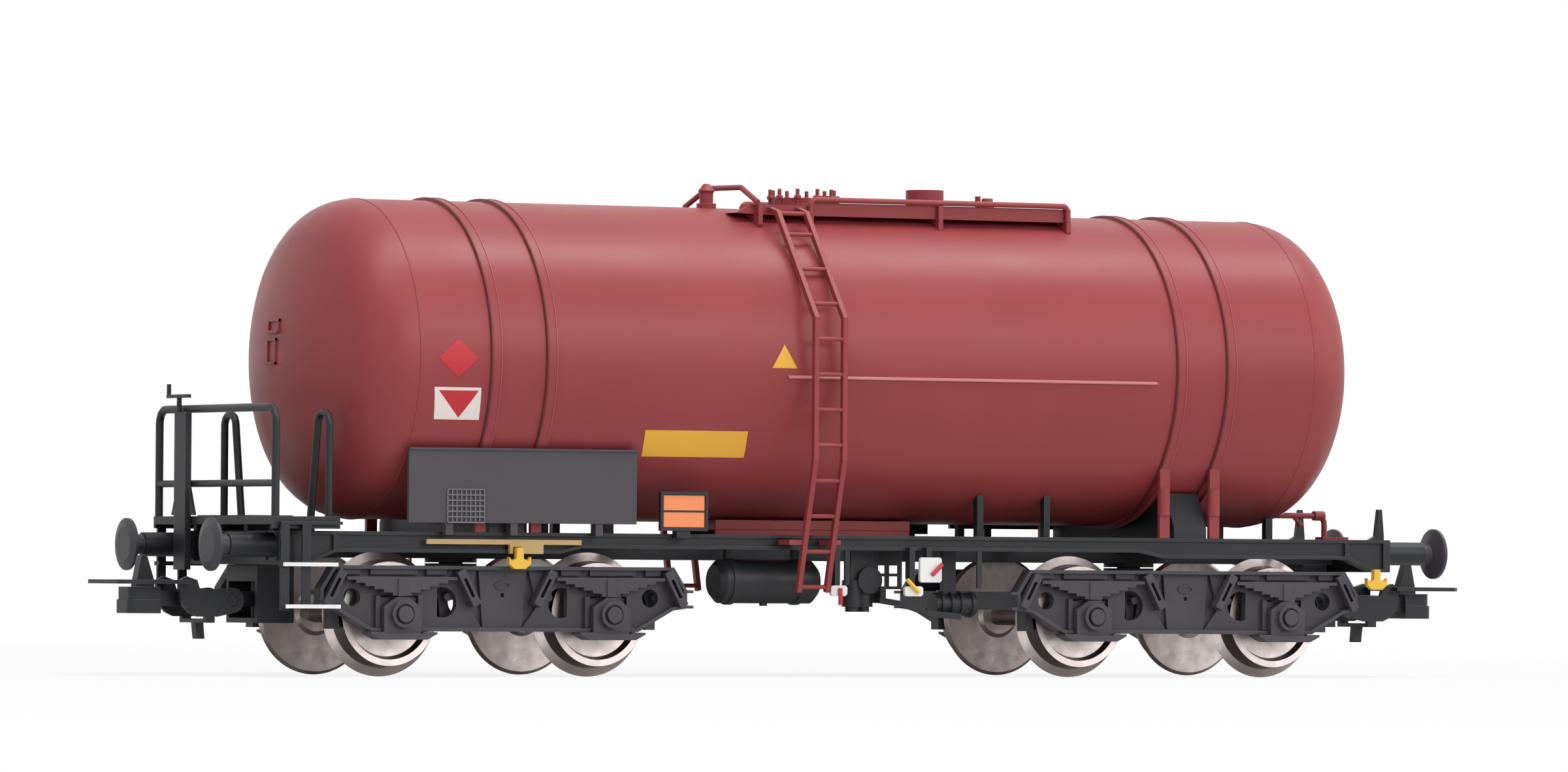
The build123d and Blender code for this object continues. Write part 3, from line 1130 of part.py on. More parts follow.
def side_frame_cuts():
    """What is cut from a near side frame: horn gaps, round and D-shaped holes, recesses, middle hole."""
    through = (-HANGER_Y - 1, -SIDE_FRAME_Y[0] + 1)
    cuts = []
    for side in (-1, 1):
        axle = side * AXLE_SPACING / 2
        cuts.append(block((axle - HORN_HALF, axle + HORN_HALF), through, (FRAME_FOOT_Z - 1, HORN_TOP_Z)))
        hole_x = axle + side * ROUND_HOLE_STEP
        cuts.append(rod((hole_x, through[0], ROUND_HOLE_Z), (hole_x, through[1], ROUND_HOLE_Z), ROUND_HOLE_RADIUS))
        flat, belly = (axle - side * step for step in DEE_X)
        dee = make_face(
            [
                Line((flat, through[0], DEE_Z[0]), (flat, through[0], DEE_Z[1])),
                ThreePointArc((flat, through[0], DEE_Z[1]), (belly, through[0], sum(DEE_Z) / 2), (flat, through[0], DEE_Z[0])),
            ]
        )
        cuts.append(extrude(dee, amount=through[1] - through[0], dir=(0, 1, 0)))
        wedge_half = RECESS_TOP_HALF + (RECESS_FOOT_HALF - RECESS_TOP_HALF) * (RECESS_Z[1] - RECESS_WEDGE_Z) / (
            RECESS_Z[1] - RECESS_Z[0]
        )
        recess = [
            (side * PANEL_TOP_HALF, RECESS_Z[1]),
            (side * RECESS_TOP_HALF, RECESS_Z[1]),
            (side * wedge_half, RECESS_WEDGE_Z),
            (side * (PANEL_FOOT_HALF + 0.15), RECESS_Z[0]),
            (side * PANEL_FOOT_HALF, RECESS_Z[0]),
        ]
        cuts.append(side_plate(recess, (-SIDE_FRAME_Y[1] - 0.01, -SIDE_FRAME_Y[1] + RECESS_DEPTH)))
    cuts.append(rod((0, through[0], PANEL_HOLE_Z), (0, -SIDE_FRAME_Y[1] + 0.4, PANEL_HOLE_Z), PANEL_HOLE_RADIUS))
    return cuts


def panel_ring():
    """Small raised oval ring on the middle of a near side frame."""
    plane = Plane(origin=(0, -SIDE_FRAME_Y[1], PANEL_RING_Z), x_dir=(1, 0, 0), z_dir=(0, -1, 0))
    outer = plane * Ellipse(*PANEL_RING_HALF)
    inner = plane * Ellipse(*[half - PANEL_RING_WIDTH for half in PANEL_RING_HALF])
    return extrude(outer - inner, amount=PANEL_RING_DEPTH, dir=(0, -1, 0))


def bogie_frame(x):
    """Bogie frame: two side frames, a bolster bored for the pivot pin, and a beam with prongs at the inner end."""
    frames = both_sides(Pos(x, 0, 0) * side_frame())
    bolster = block((x - BOLSTER_HALF, x + BOLSTER_HALF), (-SIDE_FRAME_Y[0], SIDE_FRAME_Y[0]), BOLSTER_Z)
    plate = rod((x, 0, BOLSTER_Z[1]), (x, 0, BODY_BOLSTER_Z[0] - 0.1), CENTRE_PLATE_RADIUS)
    inward = -1 if x > 0 else 1
    tip = x + inward * FRAME_TIP_HALF
    beam_x = sorted((tip, tip - inward * END_BEAM))
    beam = block(beam_x, (-SIDE_FRAME_Y[0], SIDE_FRAME_Y[0]), FRAME_TIP_Z)
    prongs = []
    for low in (FRAME_TIP_Z[0], FRAME_TIP_Z[1] - 0.3):
        prong_x = sorted((tip - inward * 0.1, tip + inward * PRONG))
        prongs += both_sides(block(prong_x, (-FRAME_FLANGE_Y, -SIDE_FRAME_Y[0]), (low, low + 0.3)))
    bore = rod((x, 0, BOLSTER_Z[0] - 1), (x, 0, FRAME_TOP_Z + 2), PIVOT_RADIUS + PIVOT_GAP)
    return joined(frames + [bolster, plate, beam] + prongs) - bore


def leaf_spring(x):
    """Stepped leaf spring with its buckle over an axle at x, on the near side."""
    y = (-SPRING_Y[1], -SPRING_Y[0])
    leaves = []
    for leaf in range(SPRING_LEAVES):
        half = SPRING_HALF * (leaf + 1) / SPRING_LEAVES
        low = SPRING_LOW_Z + leaf * SPRING_LEAF
        leaves.append(block((x - half, x + half), y, (low, low + SPRING_LEAF)))
    top = SPRING_LOW_Z + (SPRING_LEAVES - 0.5) * SPRING_LEAF
    buckle = block((x - BUCKLE_HALF, x + BUCKLE_HALF), (y[0] - BUCKLE_PROUD, y[1]), (SPRING_LOW_Z - 0.05, top))
    return joined(leaves + [buckle])


def bogie_springs(x):
    """Four leaf springs of a bogie."""
    pieces = []
    for axle in (-AXLE_SPACING / 2, AXLE_SPACING / 2):
        pieces += both_sides(leaf_spring(x + axle))
    return group(pieces)


def axlebox(x):
    """Axlebox in its horn gap: saddle, ringed cover, keeper plate and a bore for the journal, on the near side."""
    half = HORN_HALF - HORN_GAP
    back = block((x - half, x + half), (-SIDE_FRAME_Y[1] - 0.1, -SIDE_FRAME_Y[0]), (BOX_FOOT_Z, BOX_TOP_Z))
    saddle = [
        (-half, BOX_FOOT_Z),
        (half, BOX_FOOT_Z),
        (half, BOX_SHOULDER_Z),
        (BOX_TOP_HALF, BOX_TOP_Z),
        (-BOX_TOP_HALF, BOX_TOP_Z),
        (-half, BOX_SHOULDER_Z),
    ]
    front = side_plate([(x + px, pz) for px, pz in saddle], (-BOX_FACE_Y, -SIDE_FRAME_Y[1]))
    keeper = [
        (KEEPER_HALF[1], KEEPER_PAD_Z),
        (HORN_HALF, KEEPER_PAD_Z),
        (HORN_HALF, BOX_FOOT_Z),
        (0, BOX_FOOT_Z),
    ]
    right = [(0, KEEPER_Z[0]), (KEEPER_HALF[0], KEEPER_Z[0]), (KEEPER_HALF[1], KEEPER_Z[1])] + keeper
    plates = [side_plate([(x + way * px, pz) for px, pz in right], (-KEEPER_Y[1], -KEEPER_Y[0])) for way in (-1, 1)]
    ring = rod((x, -BOX_FACE_Y, AXLE_Z), (x, -COVER_Y[0], AXLE_Z), COVER_RADII[0])
    groove = rod((x, -COVER_Y[1], AXLE_Z), (x, -COVER_Y[2] - 1, AXLE_Z), COVER_RADII[1])
    disc = rod((x, -BOX_FACE_Y, AXLE_Z), (x, -COVER_Y[2], AXLE_Z), COVER_RADII[2])
    bore = rod((x, -SIDE_FRAME_Y[0] + 1, AXLE_Z), (x, -JOURNAL_END - 0.1, AXLE_Z), JOURNAL_RADIUS + JOURNAL_GAP)
    return joined([back, front, ring - groove, disc] + plates) - bore


def axleboxes(x):
    """Four axleboxes of a bogie."""
    pieces = []
    for axle in (-AXLE_SPACING / 2, AXLE_SPACING / 2):
        pieces += both_sides(axlebox(x + axle))
    return group(pieces)


def brake_block(x, way):
    """Brake block beside the tread of a near wheel, on a hanger that is pinned to the side frame."""
    inner = TREAD_RADIUS + BLOCK_GAP
    span = sorted((x + way * (inner - 2.5), x + way * (inner + BLOCK_DEPTH)))
    shoe = block(span, (-BLOCK_Y[1], -BLOCK_Y[0]), BLOCK_Z)
    wheel = rod((x, -BLOCK_Y[1] - 1, AXLE_Z), (x, -BLOCK_Y[0] + 1, AXLE_Z), inner)
    pin_x = x + way * (inner + BLOCK_DEPTH - 0.45)
    pin = rod((pin_x, -SIDE_FRAME_Y[0], BLOCK_Z[1] - 0.5), (pin_x, -BLOCK_Y[0] - 0.2, BLOCK_Z[1] - 0.5), 0.4)
    return joined([(shoe - wheel).solids().sort_by(Axis.X)[-1 if way > 0 else 0], pin])


def bogie_brakes(x):
    """Eight brake blocks of a bogie, two to a wheel."""
    pieces = []
    for axle in (-AXLE_SPACING / 2, AXLE_SPACING / 2):
        for way in (-1, 1):
            pieces += both_sides(brake_block(x + axle, way))
    return group(pieces)


def wheelset(x):
    """Axle with its two flanged wheels, turned about the axle line."""
    back = BACK_TO_BACK / 2
    front = back + WHEEL_WIDTH
    rim = TREAD_RADIUS - RIM_DEPTH
    half = [
        (0, AXLE_RADIUS),
        (back - HUB_PROUD, AXLE_RADIUS),
        (back - HUB_PROUD, HUB_RADIUS),
        (back, HUB_RADIUS + 0.4),
        (back, FLANGE_RADIUS - 0.3),
        (back + 0.35, FLANGE_RADIUS),
        (back + FLANGE_WIDTH, TREAD_RADIUS + 0.1),
        (front, TREAD_RADIUS - 0.1),
        (front, rim),
        (front - WEB_DEPTH, rim - 0.3),
        (front - WEB_DEPTH, HUB_RADIUS + 0.2),
        (front + HUB_PROUD, HUB_RADIUS - 0.2),
        (front + HUB_PROUD, JOURNAL_RADIUS),
        (JOURNAL_END, JOURNAL_RADIUS),
        (JOURNAL_END, 0),
    ]
    whole = half[1:] + [(-y, r) for y, r in reversed(half[1:])]
    points = [(x, y, AXLE_Z + r) for y, r in whole]
    return spun(points, Axis((x, 0, AXLE_Z), (0, 1, 0)))


# Each sub-part's name and the function that makes it
SUB_PARTS = {
    "tank_shell": tank_shell,
    "tank_bands": tank_bands,
    "band_tensioners": band_tensioners,
    "tank_saddles": tank_saddles,
    "manhole": manhole,
    "vent_dome": vent_dome,
    "filler_valve": filler_valve,
    "relief_vent": relief_vent,
    "walkway": walkway,
    "walkway_brackets": walkway_brackets,
    "walkway_rails": walkway_rails,
    "ladder_near": ladder_near,
    "ladder_far": ladder_far,
    "sole_bar_near": sole_bar_near,
    "sole_bar_far": sole_bar_far,
    "centre_sill": centre_sill,
    "cross_bearers": cross_bearers,
    "headstocks": headstocks,
    "body_bolsters": body_bolsters,
    "buffer_barrels": buffer_barrels,
    "buffer_heads": buffer_heads,
    "brake_platform": brake_platform,
    "end_railing": end_railing,
    "brake_post": brake_post,
    "brake_crank": brake_crank,
    "hand_hoops": hand_hoops,
    "steps_near": steps_near,
    "steps_far": steps_far,
    "air_reservoir": air_reservoir,
    "brake_cylinder": brake_cylinder,
    "brake_rigging": brake_rigging,
    "gear_straps": gear_straps,
    "changeover_plates": changeover_plates,
    "changeover_levers": changeover_levers,
    "tank_struts": tank_struts,
    "belly_strip": belly_strip,
    "drain_pipe": drain_pipe,
    "lamp_irons": lamp_irons,
    "label_board_near": label_board_near,
    "label_board_far": label_board_far,
    "plate_holders": plate_holders,
    "tow_hooks": tow_hooks,
    "lever_bars": lever_bars,
    "coupler_mounts": coupler_mounts,
    "coupler_head_left": coupler_head_left,
    "coupler_head_right": coupler_head_right,
    "bail_left": bail_left,
    "bail_right": bail_right,
    "bogie_frame_left": lambda: bogie_frame(-PIVOT_X),
    "bogie_frame_right": lambda: bogie_frame(PIVOT_X),
    "bogie_springs_left": lambda: bogie_springs(-PIVOT_X),
    "bogie_springs_right": lambda: bogie_springs(PIVOT_X),
    "axleboxes_left": lambda: axleboxes(-PIVOT_X),
    "axleboxes_right": lambda: axleboxes(PIVOT_X),
    "bogie_brakes_left": lambda: bogie_brakes(-PIVOT_X),
    "bogie_brakes_right": lambda: bogie_brakes(PIVOT_X),
    "wheelset_1": lambda: wheelset(-PIVOT_X - AXLE_SPACING / 2),
    "wheelset_2": lambda: wheelset(-PIVOT_X + AXLE_SPACING / 2),
    "wheelset_3": lambda: wheelset(PIVOT_X - AXLE_SPACING / 2),
    "wheelset_4": lambda: wheelset(PIVOT_X + AXLE_SPACING / 2),
}


os.makedirs("parts", exist_ok=True)
for name, make in SUB_PARTS.items():
    export_step(make(), f"parts/{name}.step")
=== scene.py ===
"""Looks of a model tank wagon, built around its packed construction.

The construction gives every rigid piece. This file gives each of them its finish, adds the small repeated
fasteners, seams, gratings and printed patches, and sets the studio, the lamps and the camera.
Lengths are metres in the shared frame. +X runs along the wagon away from its brake platform, +Y to the far
side and +Z up.
"""

import json
import logging
from dataclasses import dataclass
from enum import Enum
from math import asin, cos, pi, radians, sin, sqrt

import bmesh
import bpy
from mathutils import Matrix, Vector


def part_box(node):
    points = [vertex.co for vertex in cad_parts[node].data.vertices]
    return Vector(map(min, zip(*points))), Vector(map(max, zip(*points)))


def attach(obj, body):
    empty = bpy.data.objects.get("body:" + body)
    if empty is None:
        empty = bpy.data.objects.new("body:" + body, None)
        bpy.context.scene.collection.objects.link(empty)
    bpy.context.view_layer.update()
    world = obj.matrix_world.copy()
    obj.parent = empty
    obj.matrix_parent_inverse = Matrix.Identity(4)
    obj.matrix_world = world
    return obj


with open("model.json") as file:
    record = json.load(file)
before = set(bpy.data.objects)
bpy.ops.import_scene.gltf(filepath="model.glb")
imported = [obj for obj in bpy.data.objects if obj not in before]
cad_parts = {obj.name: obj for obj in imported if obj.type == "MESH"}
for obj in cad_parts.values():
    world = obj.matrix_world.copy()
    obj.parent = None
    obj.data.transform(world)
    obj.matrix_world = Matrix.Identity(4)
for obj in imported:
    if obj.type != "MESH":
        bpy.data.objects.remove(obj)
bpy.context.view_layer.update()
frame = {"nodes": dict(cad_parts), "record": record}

MM = 0.001
LOG = logging.getLogger("wagon")

# Clouds to the metre, and the greys between which they fade
CLOUD_SCALE = 90.0
CLOUD_RANGE = (0.35, 0.65)

# Tone that the edges go towards, paler partly from wear and partly as a painted highlight, and how far the
# roughness strays to each side
WORN_AND_LIT_EDGE_TONE = 0.6
ROUGHNESS_SPREAD = 0.05

# Pitch of the wave texture's rings at a scale of one, in metres, and the rays that round an edge
RING_SCALE = 0.314
BEVEL_SAMPLES = 4

Point = tuple[float, float, float]
Colour = tuple[float, float, float]


class Paint(Enum):
    """Names of the wagon's painted, moulded and printed finishes."""

    TANK_RED = "tank_red"
    FRAME_BLACK = "frame_black"
    BOGIE_BLACK = "bogie_black"
    BOARD_GREY = "board_grey"
    BUFFER_GREY = "buffer_grey"
    HOLDER_GREY = "holder_grey"
    TAN = "tan"
    SIGNAL_YELLOW = "signal_yellow"
    PLATE_WHITE = "plate_white"
    PLATE_ORANGE = "plate_orange"
    LEVER_PAIR = "lever_pair"
    # Paler red painted as the side strip's highlight
    STRIP_HIGHLIGHT_RED = "strip_highlight_red"
    # Paler red painted as the bands' highlight, and dark red painted as the shade beside them
    BAND_HIGHLIGHT_RED = "band_highlight_red"
    SHADE_RED = "shade_red"
    PRINT_RED = "print_red"
    PRINT_YELLOW = "print_yellow"
    PRINT_CREAM = "print_cream"
    STEP_WHITE = "step_white"


@dataclass(frozen=True)
class PaintFinish:
    """A satin painted or moulded surface with fine grain, soft mottling and rounded edges, made paler partly
    by wear and partly as a painted highlight.

    Args:
        colour: Linear base colour.
        roughness: Middle roughness.
        mottle: How far the colour strays in soft clouds, as a share.
        grain: Depth of the fine surface grain, in metres.
        grain_size: Width of one grain, in metres.
        edge_radius: How round the edges catch the light, in metres. Zero leaves them sharp.
        edge_lift: How much paler the edges are, as a share, partly as wear and partly as a painted highlight.
        specular: Strength of the plain reflection.
        tip: Second colour, of what lies beyond the tip's X.
        tip_x: Range of X, in metres, that has the second colour.
    """

    colour: Colour
    roughness: float = 0.45
    mottle: float = 0.06
    grain: float = 0.000004
    grain_size: float = 0.0003
    edge_radius: float = 0.00008
    edge_lift: float = 0.0
    specular: float = 0.5
    tip: Colour | None = None
    tip_x: tuple[float, float] = (0.0, 0.0)

    def material(self, name: str) -> bpy.types.Material:
        """Build the material.

        Args:
            name: Name of the new material.

        Returns:
            The finished node material.
        """
        shade = Shade(name)
        clouds = shade.noise(scale=CLOUD_SCALE, detail=3.0)
        fine = shade.noise(scale=1.0 / self.grain_size, detail=2.0)
        dark = tuple(channel * (1.0 - self.mottle) for channel in self.colour)
        light = tuple(min(1.0, channel * (1.0 + self.mottle)) for channel in self.colour)
        tint = shade.ramp(clouds, dark, light, *CLOUD_RANGE)
        # Paler edges: partly wear, partly a painted highlight
        if self.edge_lift > 0.0:
            pale = tuple(channel + (WORN_AND_LIT_EDGE_TONE - channel) * self.edge_lift for channel in self.colour)
            tint = shade.mix(shade.edge_mask(self.edge_radius), tint, pale)
        if self.tip is not None:
            tint = shade.mix(shade.between(*self.tip_x), tint, self.tip)
        shade.link(tint, "Base Color")
        smooth, rough = self.roughness - ROUGHNESS_SPREAD, self.roughness + ROUGHNESS_SPREAD
        shade.link(shade.remap(clouds, smooth, rough), "Roughness")
        shade.value("Specular IOR Level", self.specular)
        shade.link(shade.bump(fine, self.grain, self.edge_radius), "Normal")
        return shade.material


@dataclass(frozen=True)
class TurnedSteelFinish:
    """Bright steel turned on a lathe: fine rings about the axle, faint blotches, and treads darkened as
    painted shade.

    Args:
        colour: Linear base colour.
        axle: X and Z of the axle that the rings run round.
        ring_pitch: Distance between two turning marks, in metres.
        mark_depth: Depth of a turning mark, in metres.
        edge_radius: How round the edges catch the light, in metres.
        blotch_scale: Blotches to the metre.
        blotch_range: Greys between which a blotch fades in.
        dull_share: How bright the blotches are beside clean steel.
        tread_share: How bright the treads and flange edges are beside the faces, darkened as painted shade.
        roughness: Roughness of the dark and of the light blotches.
    """

    colour: Colour
    axle: tuple[float, float]
    ring_pitch: float = 0.00012
    mark_depth: float = 0.000004
    edge_radius: float = 0.00006
    blotch_scale: float = 700.0
    blotch_range: tuple[float, float] = (0.3, 0.62)
    dull_share: float = 0.78
    tread_share: float = 0.22
    roughness: tuple[float, float] = (0.42, 0.26)

    def material(self, name: str) -> bpy.types.Material:
        """Build the material.

        Args:
            name: Name of the new material.

        Returns:
            The finished node material.
        """
        shade = Shade(name, centre=(self.axle[0], 0.0, self.axle[1]))
        rings = shade.rings(self.ring_pitch)
        blotches = shade.noise(scale=self.blotch_scale, detail=5.0)
        dull = tuple(channel * self.dull_share for channel in self.colour)
        tint = shade.ramp(blotches, dull, self.colour, *self.blotch_range)
        # Treads and flange edges darkened as painted shade
        dark = tuple(channel * self.tread_share for channel in self.colour)
        shade.link(shade.mix(shade.sideways(), tint, dark), "Base Color")
        shade.value("Metallic", 1.0)
        shade.link(shade.remap(blotches, *self.roughness), "Roughness")
        shade.link(shade.bump(rings, self.mark_depth, self.edge_radius), "Normal")
        return shade.material


class Shade:
    """Node material under construction, on Object coordinates."""

    def __init__(self, name: str, centre: Point = (0.0, 0.0, 0.0)) -> None:
        """Start an empty material.

        Args:
            name: Name of the new material.
            centre: Point that the pattern is centred on.
        """
        self.material = bpy.data.materials.new(name)
        self.material.use_nodes = True
        self.nodes = self.material.node_tree.nodes
        self.wires = self.material.node_tree.links
        self.nodes.clear()
        self.body = self.nodes.new("ShaderNodeBsdfPrincipled")
        output = self.nodes.new("ShaderNodeOutputMaterial")
        self.wires.new(self.body.outputs["BSDF"], output.inputs["Surface"])
        place = self.nodes.new("ShaderNodeTexCoord")
        shift = self.nodes.new("ShaderNodeMapping")
        shift.inputs["Location"].default_value = tuple(-value for value in centre)
        self.wires.new(place.outputs["Object"], shift.inputs["Vector"])
        self.where = shift.outputs["Vector"]

    def value(self, socket: str, amount: float) -> None:
        """Set a constant on the surface shader itself."""
        self.body.inputs[socket].default_value = amount

    def link(self, source: bpy.types.NodeSocket, socket: str) -> None:
        """Feed a socket of the surface shader."""
        self.wires.new(source, self.body.inputs[socket])

    def noise(self, scale: float, detail: float) -> bpy.types.NodeSocket:
        """Add a cloud texture.

        Args:
            scale: Clouds to the metre.
            detail: How many finer layers it has.

        Returns:
            Its grey value.
        """
        node = self.nodes.new("ShaderNodeTexNoise")
        node.inputs["Scale"].default_value = scale
        node.inputs["Detail"].default_value = detail
        self.wires.new(self.where, node.inputs["Vector"])
        return node.outputs["Fac"]

    def sideways(self, face: float = 0.7, tread: float = 0.4) -> bpy.types.NodeSocket:
        """Add a mask for surfaces that turn away from the axle's line, as treads do.

        Args:
            face: Share of the normal along the axle from which a surface is a wheel's face.
            tread: Share under which it is a tread.

        Returns:
            White on treads and flange edges, black on the faces.
        """
        place = self.nodes.new("ShaderNodeTexCoord")
        split = self.nodes.new("ShaderNodeSeparateXYZ")
        self.wires.new(place.outputs["Normal"], split.inputs["Vector"])
        along = self.nodes.new("ShaderNodeMath")
        along.operation = "ABSOLUTE"
        self.wires.new(split.outputs["Y"], along.inputs[0])
        node = self.nodes.new("ShaderNodeMapRange")
        node.inputs["From Min"].default_value = face
        node.inputs["From Max"].default_value = tread
        self.wires.new(along.outputs["Value"], node.inputs["Value"])
        return node.outputs["Result"]

    def between(self, low: float, high: float) -> bpy.types.NodeSocket:
        """Add a mask for a stretch along the wagon.

        Args:
            low: Lowest X, in metres.
            high: Highest X, in metres.

        Returns:
            White between the two, else black.
        """
        split = self.nodes.new("ShaderNodeSeparateXYZ")
        self.wires.new(self.where, split.inputs["Vector"])
        inside = self.nodes.new("ShaderNodeMath")
        inside.operation = "COMPARE"
        inside.inputs[1].default_value = (low + high) / 2
        inside.inputs[2].default_value = (high - low) / 2
        self.wires.new(split.outputs["X"], inside.inputs[0])
        return inside.outputs["Value"]

    def rings(self, pitch: float) -> bpy.types.NodeSocket:
        """Add rings about the Y line through the pattern's centre.

        Args:
            pitch: Distance from ring to ring.

        Returns:
            Their grey value.
        """
        node = self.nodes.new("ShaderNodeTexWave")
        node.wave_type = "RINGS"
        node.rings_direction = "Y"
        node.inputs["Scale"].default_value = RING_SCALE / pitch
        node.inputs["Distortion"].default_value = 0.6
        node.inputs["Detail"].default_value = 2.0
        self.wires.new(self.where, node.inputs["Vector"])
        return node.outputs["Fac"]

    def ramp(
        self, source: bpy.types.NodeSocket, dark: Colour, light: Colour, low: float, high: float
    ) -> bpy.types.NodeSocket:
        """Turn a grey value into a colour between two colours.

        Args:
            source: Grey value.
            dark: Colour at and under the low value.
            light: Colour at and over the high value.
            low: Where the change starts.
            high: Where the change ends.

        Returns:
            The colour.
        """
        node = self.nodes.new("ShaderNodeValToRGB")
        first, last = node.color_ramp.elements
        first.position, last.position = low, high
        first.color, last.color = (*dark, 1.0), (*light, 1.0)
        self.wires.new(source, node.inputs["Fac"])
        return node.outputs["Color"]

    def mix(
        self, mask: bpy.types.NodeSocket, under: bpy.types.NodeSocket, over: Colour
    ) -> bpy.types.NodeSocket:
        """Lay a plain colour over another where the mask is white.

        Args:
            mask: Grey value.
            under: Colour below.
            over: Colour on top.

        Returns:
            The mixed colour.
        """
        node = self.nodes.new("ShaderNodeMix")
        node.data_type = "RGBA"
        self.wires.new(mask, node.inputs["Factor"])
        self.wires.new(under, node.inputs[6])
        node.inputs[7].default_value = (*over, 1.0)
        return node.outputs[2]

    def remap(
        self, source: bpy.types.NodeSocket, low: float, high: float, dark: float = 0.3, light: float = 0.7
    ) -> bpy.types.NodeSocket:
        """Stretch a grey value to a new range.

        Args:
            source: Grey value about one half.
            low: Result for a dark value.
            high: Result for a light value.
            dark: Grey that counts as dark.
            light: Grey that counts as light.

        Returns:
            The stretched value.
        """
        node = self.nodes.new("ShaderNodeMapRange")
        node.inputs["From Min"].default_value = dark
        node.inputs["From Max"].default_value = light
        node.inputs["To Min"].default_value = low
        node.inputs["To Max"].default_value = high
        self.wires.new(source, node.inputs["Value"])
        return node.outputs["Result"]

    def rounded(self, radius: float) -> bpy.types.NodeSocket:
        """Add a normal that turns round the edges.

        Args:
            radius: Radius of the edges, in metres.

        Returns:
            The normal.
        """
        node = self.nodes.new("ShaderNodeBevel")
        node.samples = BEVEL_SAMPLES
        node.inputs["Radius"].default_value = radius
        return node.outputs["Normal"]

    def edge_mask(self, radius: float, spread: float = 1.5) -> bpy.types.NodeSocket:
        """Add a mask for the edges, where the rounded normal leaves the true one.

        Args:
            radius: Radius of the edges, in metres.
            spread: How far the paler edge reaches, in radii.

        Returns:
            White along the edges, black elsewhere.
        """
        geometry = self.nodes.new("ShaderNodeNewGeometry")
        dot = self.nodes.new("ShaderNodeVectorMath")
        dot.operation = "DOT_PRODUCT"
        self.wires.new(geometry.outputs["True Normal"], dot.inputs[0])
        self.wires.new(self.rounded(spread * radius), dot.inputs[1])
        node = self.nodes.new("ShaderNodeMapRange")
        node.inputs["From Min"].default_value = 0.98
        node.inputs["From Max"].default_value = 0.8
        self.wires.new(dot.outputs["Value"], node.inputs["Value"])
        return node.outputs["Result"]

    def bump(self, source: bpy.types.NodeSocket, depth: float, edge_radius: float) -> bpy.types.NodeSocket:
        """Add fine relief over rounded edges.

        Args:
            source: Height, as a grey value.
            depth: Height of a white value, in metres.
            edge_radius: Radius of the edges, or zero.

        Returns:
            The normal.
        """
        node = self.nodes.new("ShaderNodeBump")
        node.inputs["Strength"].default_value = 1.0
        node.inputs["Distance"].default_value = depth
        self.wires.new(source, node.inputs["Height"])
        if edge_radius > 0.0:
            self.wires.new(self.rounded(edge_radius), node.inputs["Normal"])
        return node.outputs["Normal"]


# Linear colours, judged
FINISHES: dict[Paint, PaintFinish] = {
    Paint.TANK_RED: PaintFinish(
        (0.29, 0.047, 0.050), roughness=0.4, mottle=0.03, grain=0.000002, edge_lift=0.05, specular=0.3
    ),
    # Painted highlight on the side strip
    Paint.STRIP_HIGHLIGHT_RED: PaintFinish((0.42, 0.12, 0.12), roughness=0.5, mottle=0.04, edge_radius=0.0),
    # Painted highlight and painted shade along the bands
    Paint.BAND_HIGHLIGHT_RED: PaintFinish((0.38, 0.085, 0.088), roughness=0.45, mottle=0.03, edge_radius=0.0),
    Paint.SHADE_RED: PaintFinish((0.13, 0.018, 0.022), roughness=0.5, mottle=0.03, edge_radius=0.0),
    Paint.FRAME_BLACK: PaintFinish(
        (0.019, 0.020, 0.023), roughness=0.44, mottle=0.1, edge_lift=0.07, specular=0.35
    ),
    Paint.BOGIE_BLACK: PaintFinish(
        (0.056, 0.052, 0.062), roughness=0.5, mottle=0.1, edge_lift=0.06, specular=0.35
    ),
    Paint.BOARD_GREY: PaintFinish((0.062, 0.055, 0.062), roughness=0.5, mottle=0.05, specular=0.35),
    Paint.BUFFER_GREY: PaintFinish(
        (0.044, 0.041, 0.052), roughness=0.45, mottle=0.08, edge_lift=0.07, specular=0.35
    ),
    Paint.HOLDER_GREY: PaintFinish((0.15, 0.14, 0.16), roughness=0.5, mottle=0.05, edge_radius=0.0),
    Paint.TAN: PaintFinish((0.55, 0.36, 0.15), roughness=0.5, mottle=0.06),
    Paint.SIGNAL_YELLOW: PaintFinish((0.86, 0.50, 0.05), roughness=0.42, mottle=0.05),
    Paint.PLATE_WHITE: PaintFinish((0.82, 0.82, 0.81), roughness=0.5, mottle=0.02),
    Paint.LEVER_PAIR: PaintFinish(
        (0.50, 0.02, 0.04), roughness=0.4, mottle=0.05, tip=(0.86, 0.50, 0.05), tip_x=(4.5 * MM, 7.0 * MM)
    ),
    Paint.PLATE_ORANGE: PaintFinish((0.88, 0.27, 0.10), roughness=0.5, mottle=0.03),
    Paint.PRINT_RED: PaintFinish((0.50, 0.014, 0.022), roughness=0.45, mottle=0.03, edge_radius=0.0),
    Paint.PRINT_YELLOW: PaintFinish((0.80, 0.42, 0.03), roughness=0.45, mottle=0.03, edge_radius=0.0),
    Paint.PRINT_CREAM: PaintFinish((0.80, 0.72, 0.66), roughness=0.5, mottle=0.02, edge_radius=0.0),
    Paint.STEP_WHITE: PaintFinish((0.84, 0.84, 0.83), roughness=0.5, mottle=0.02, edge_radius=0.0),
}
WHEEL_STEEL: Colour = (0.86, 0.76, 0.73)


class PaintShop:
    """Keeps one material for each finish and puts them on pieces."""

    def __init__(self) -> None:
        """Start with an empty shelf."""
        self.shelf: dict[str, bpy.types.Material] = {}

    def paint(self, choice: Paint) -> bpy.types.Material:
        """Material of a painted finish, made on first use.

        Args:
            choice: The finish.

        Returns:
            Its material.
        """
        if choice.value not in self.shelf:
            self.shelf[choice.value] = FINISHES[choice].material(choice.value)
        return self.shelf[choice.value]

    def dress(self, node: str, material: bpy.types.Material) -> None:
        """Put a material on a construction piece.

        Args:
            node: Name of the construction piece.
            material: Its new finish.
        """
        for slot in frame["nodes"][node].material_slots:
            slot.material = material


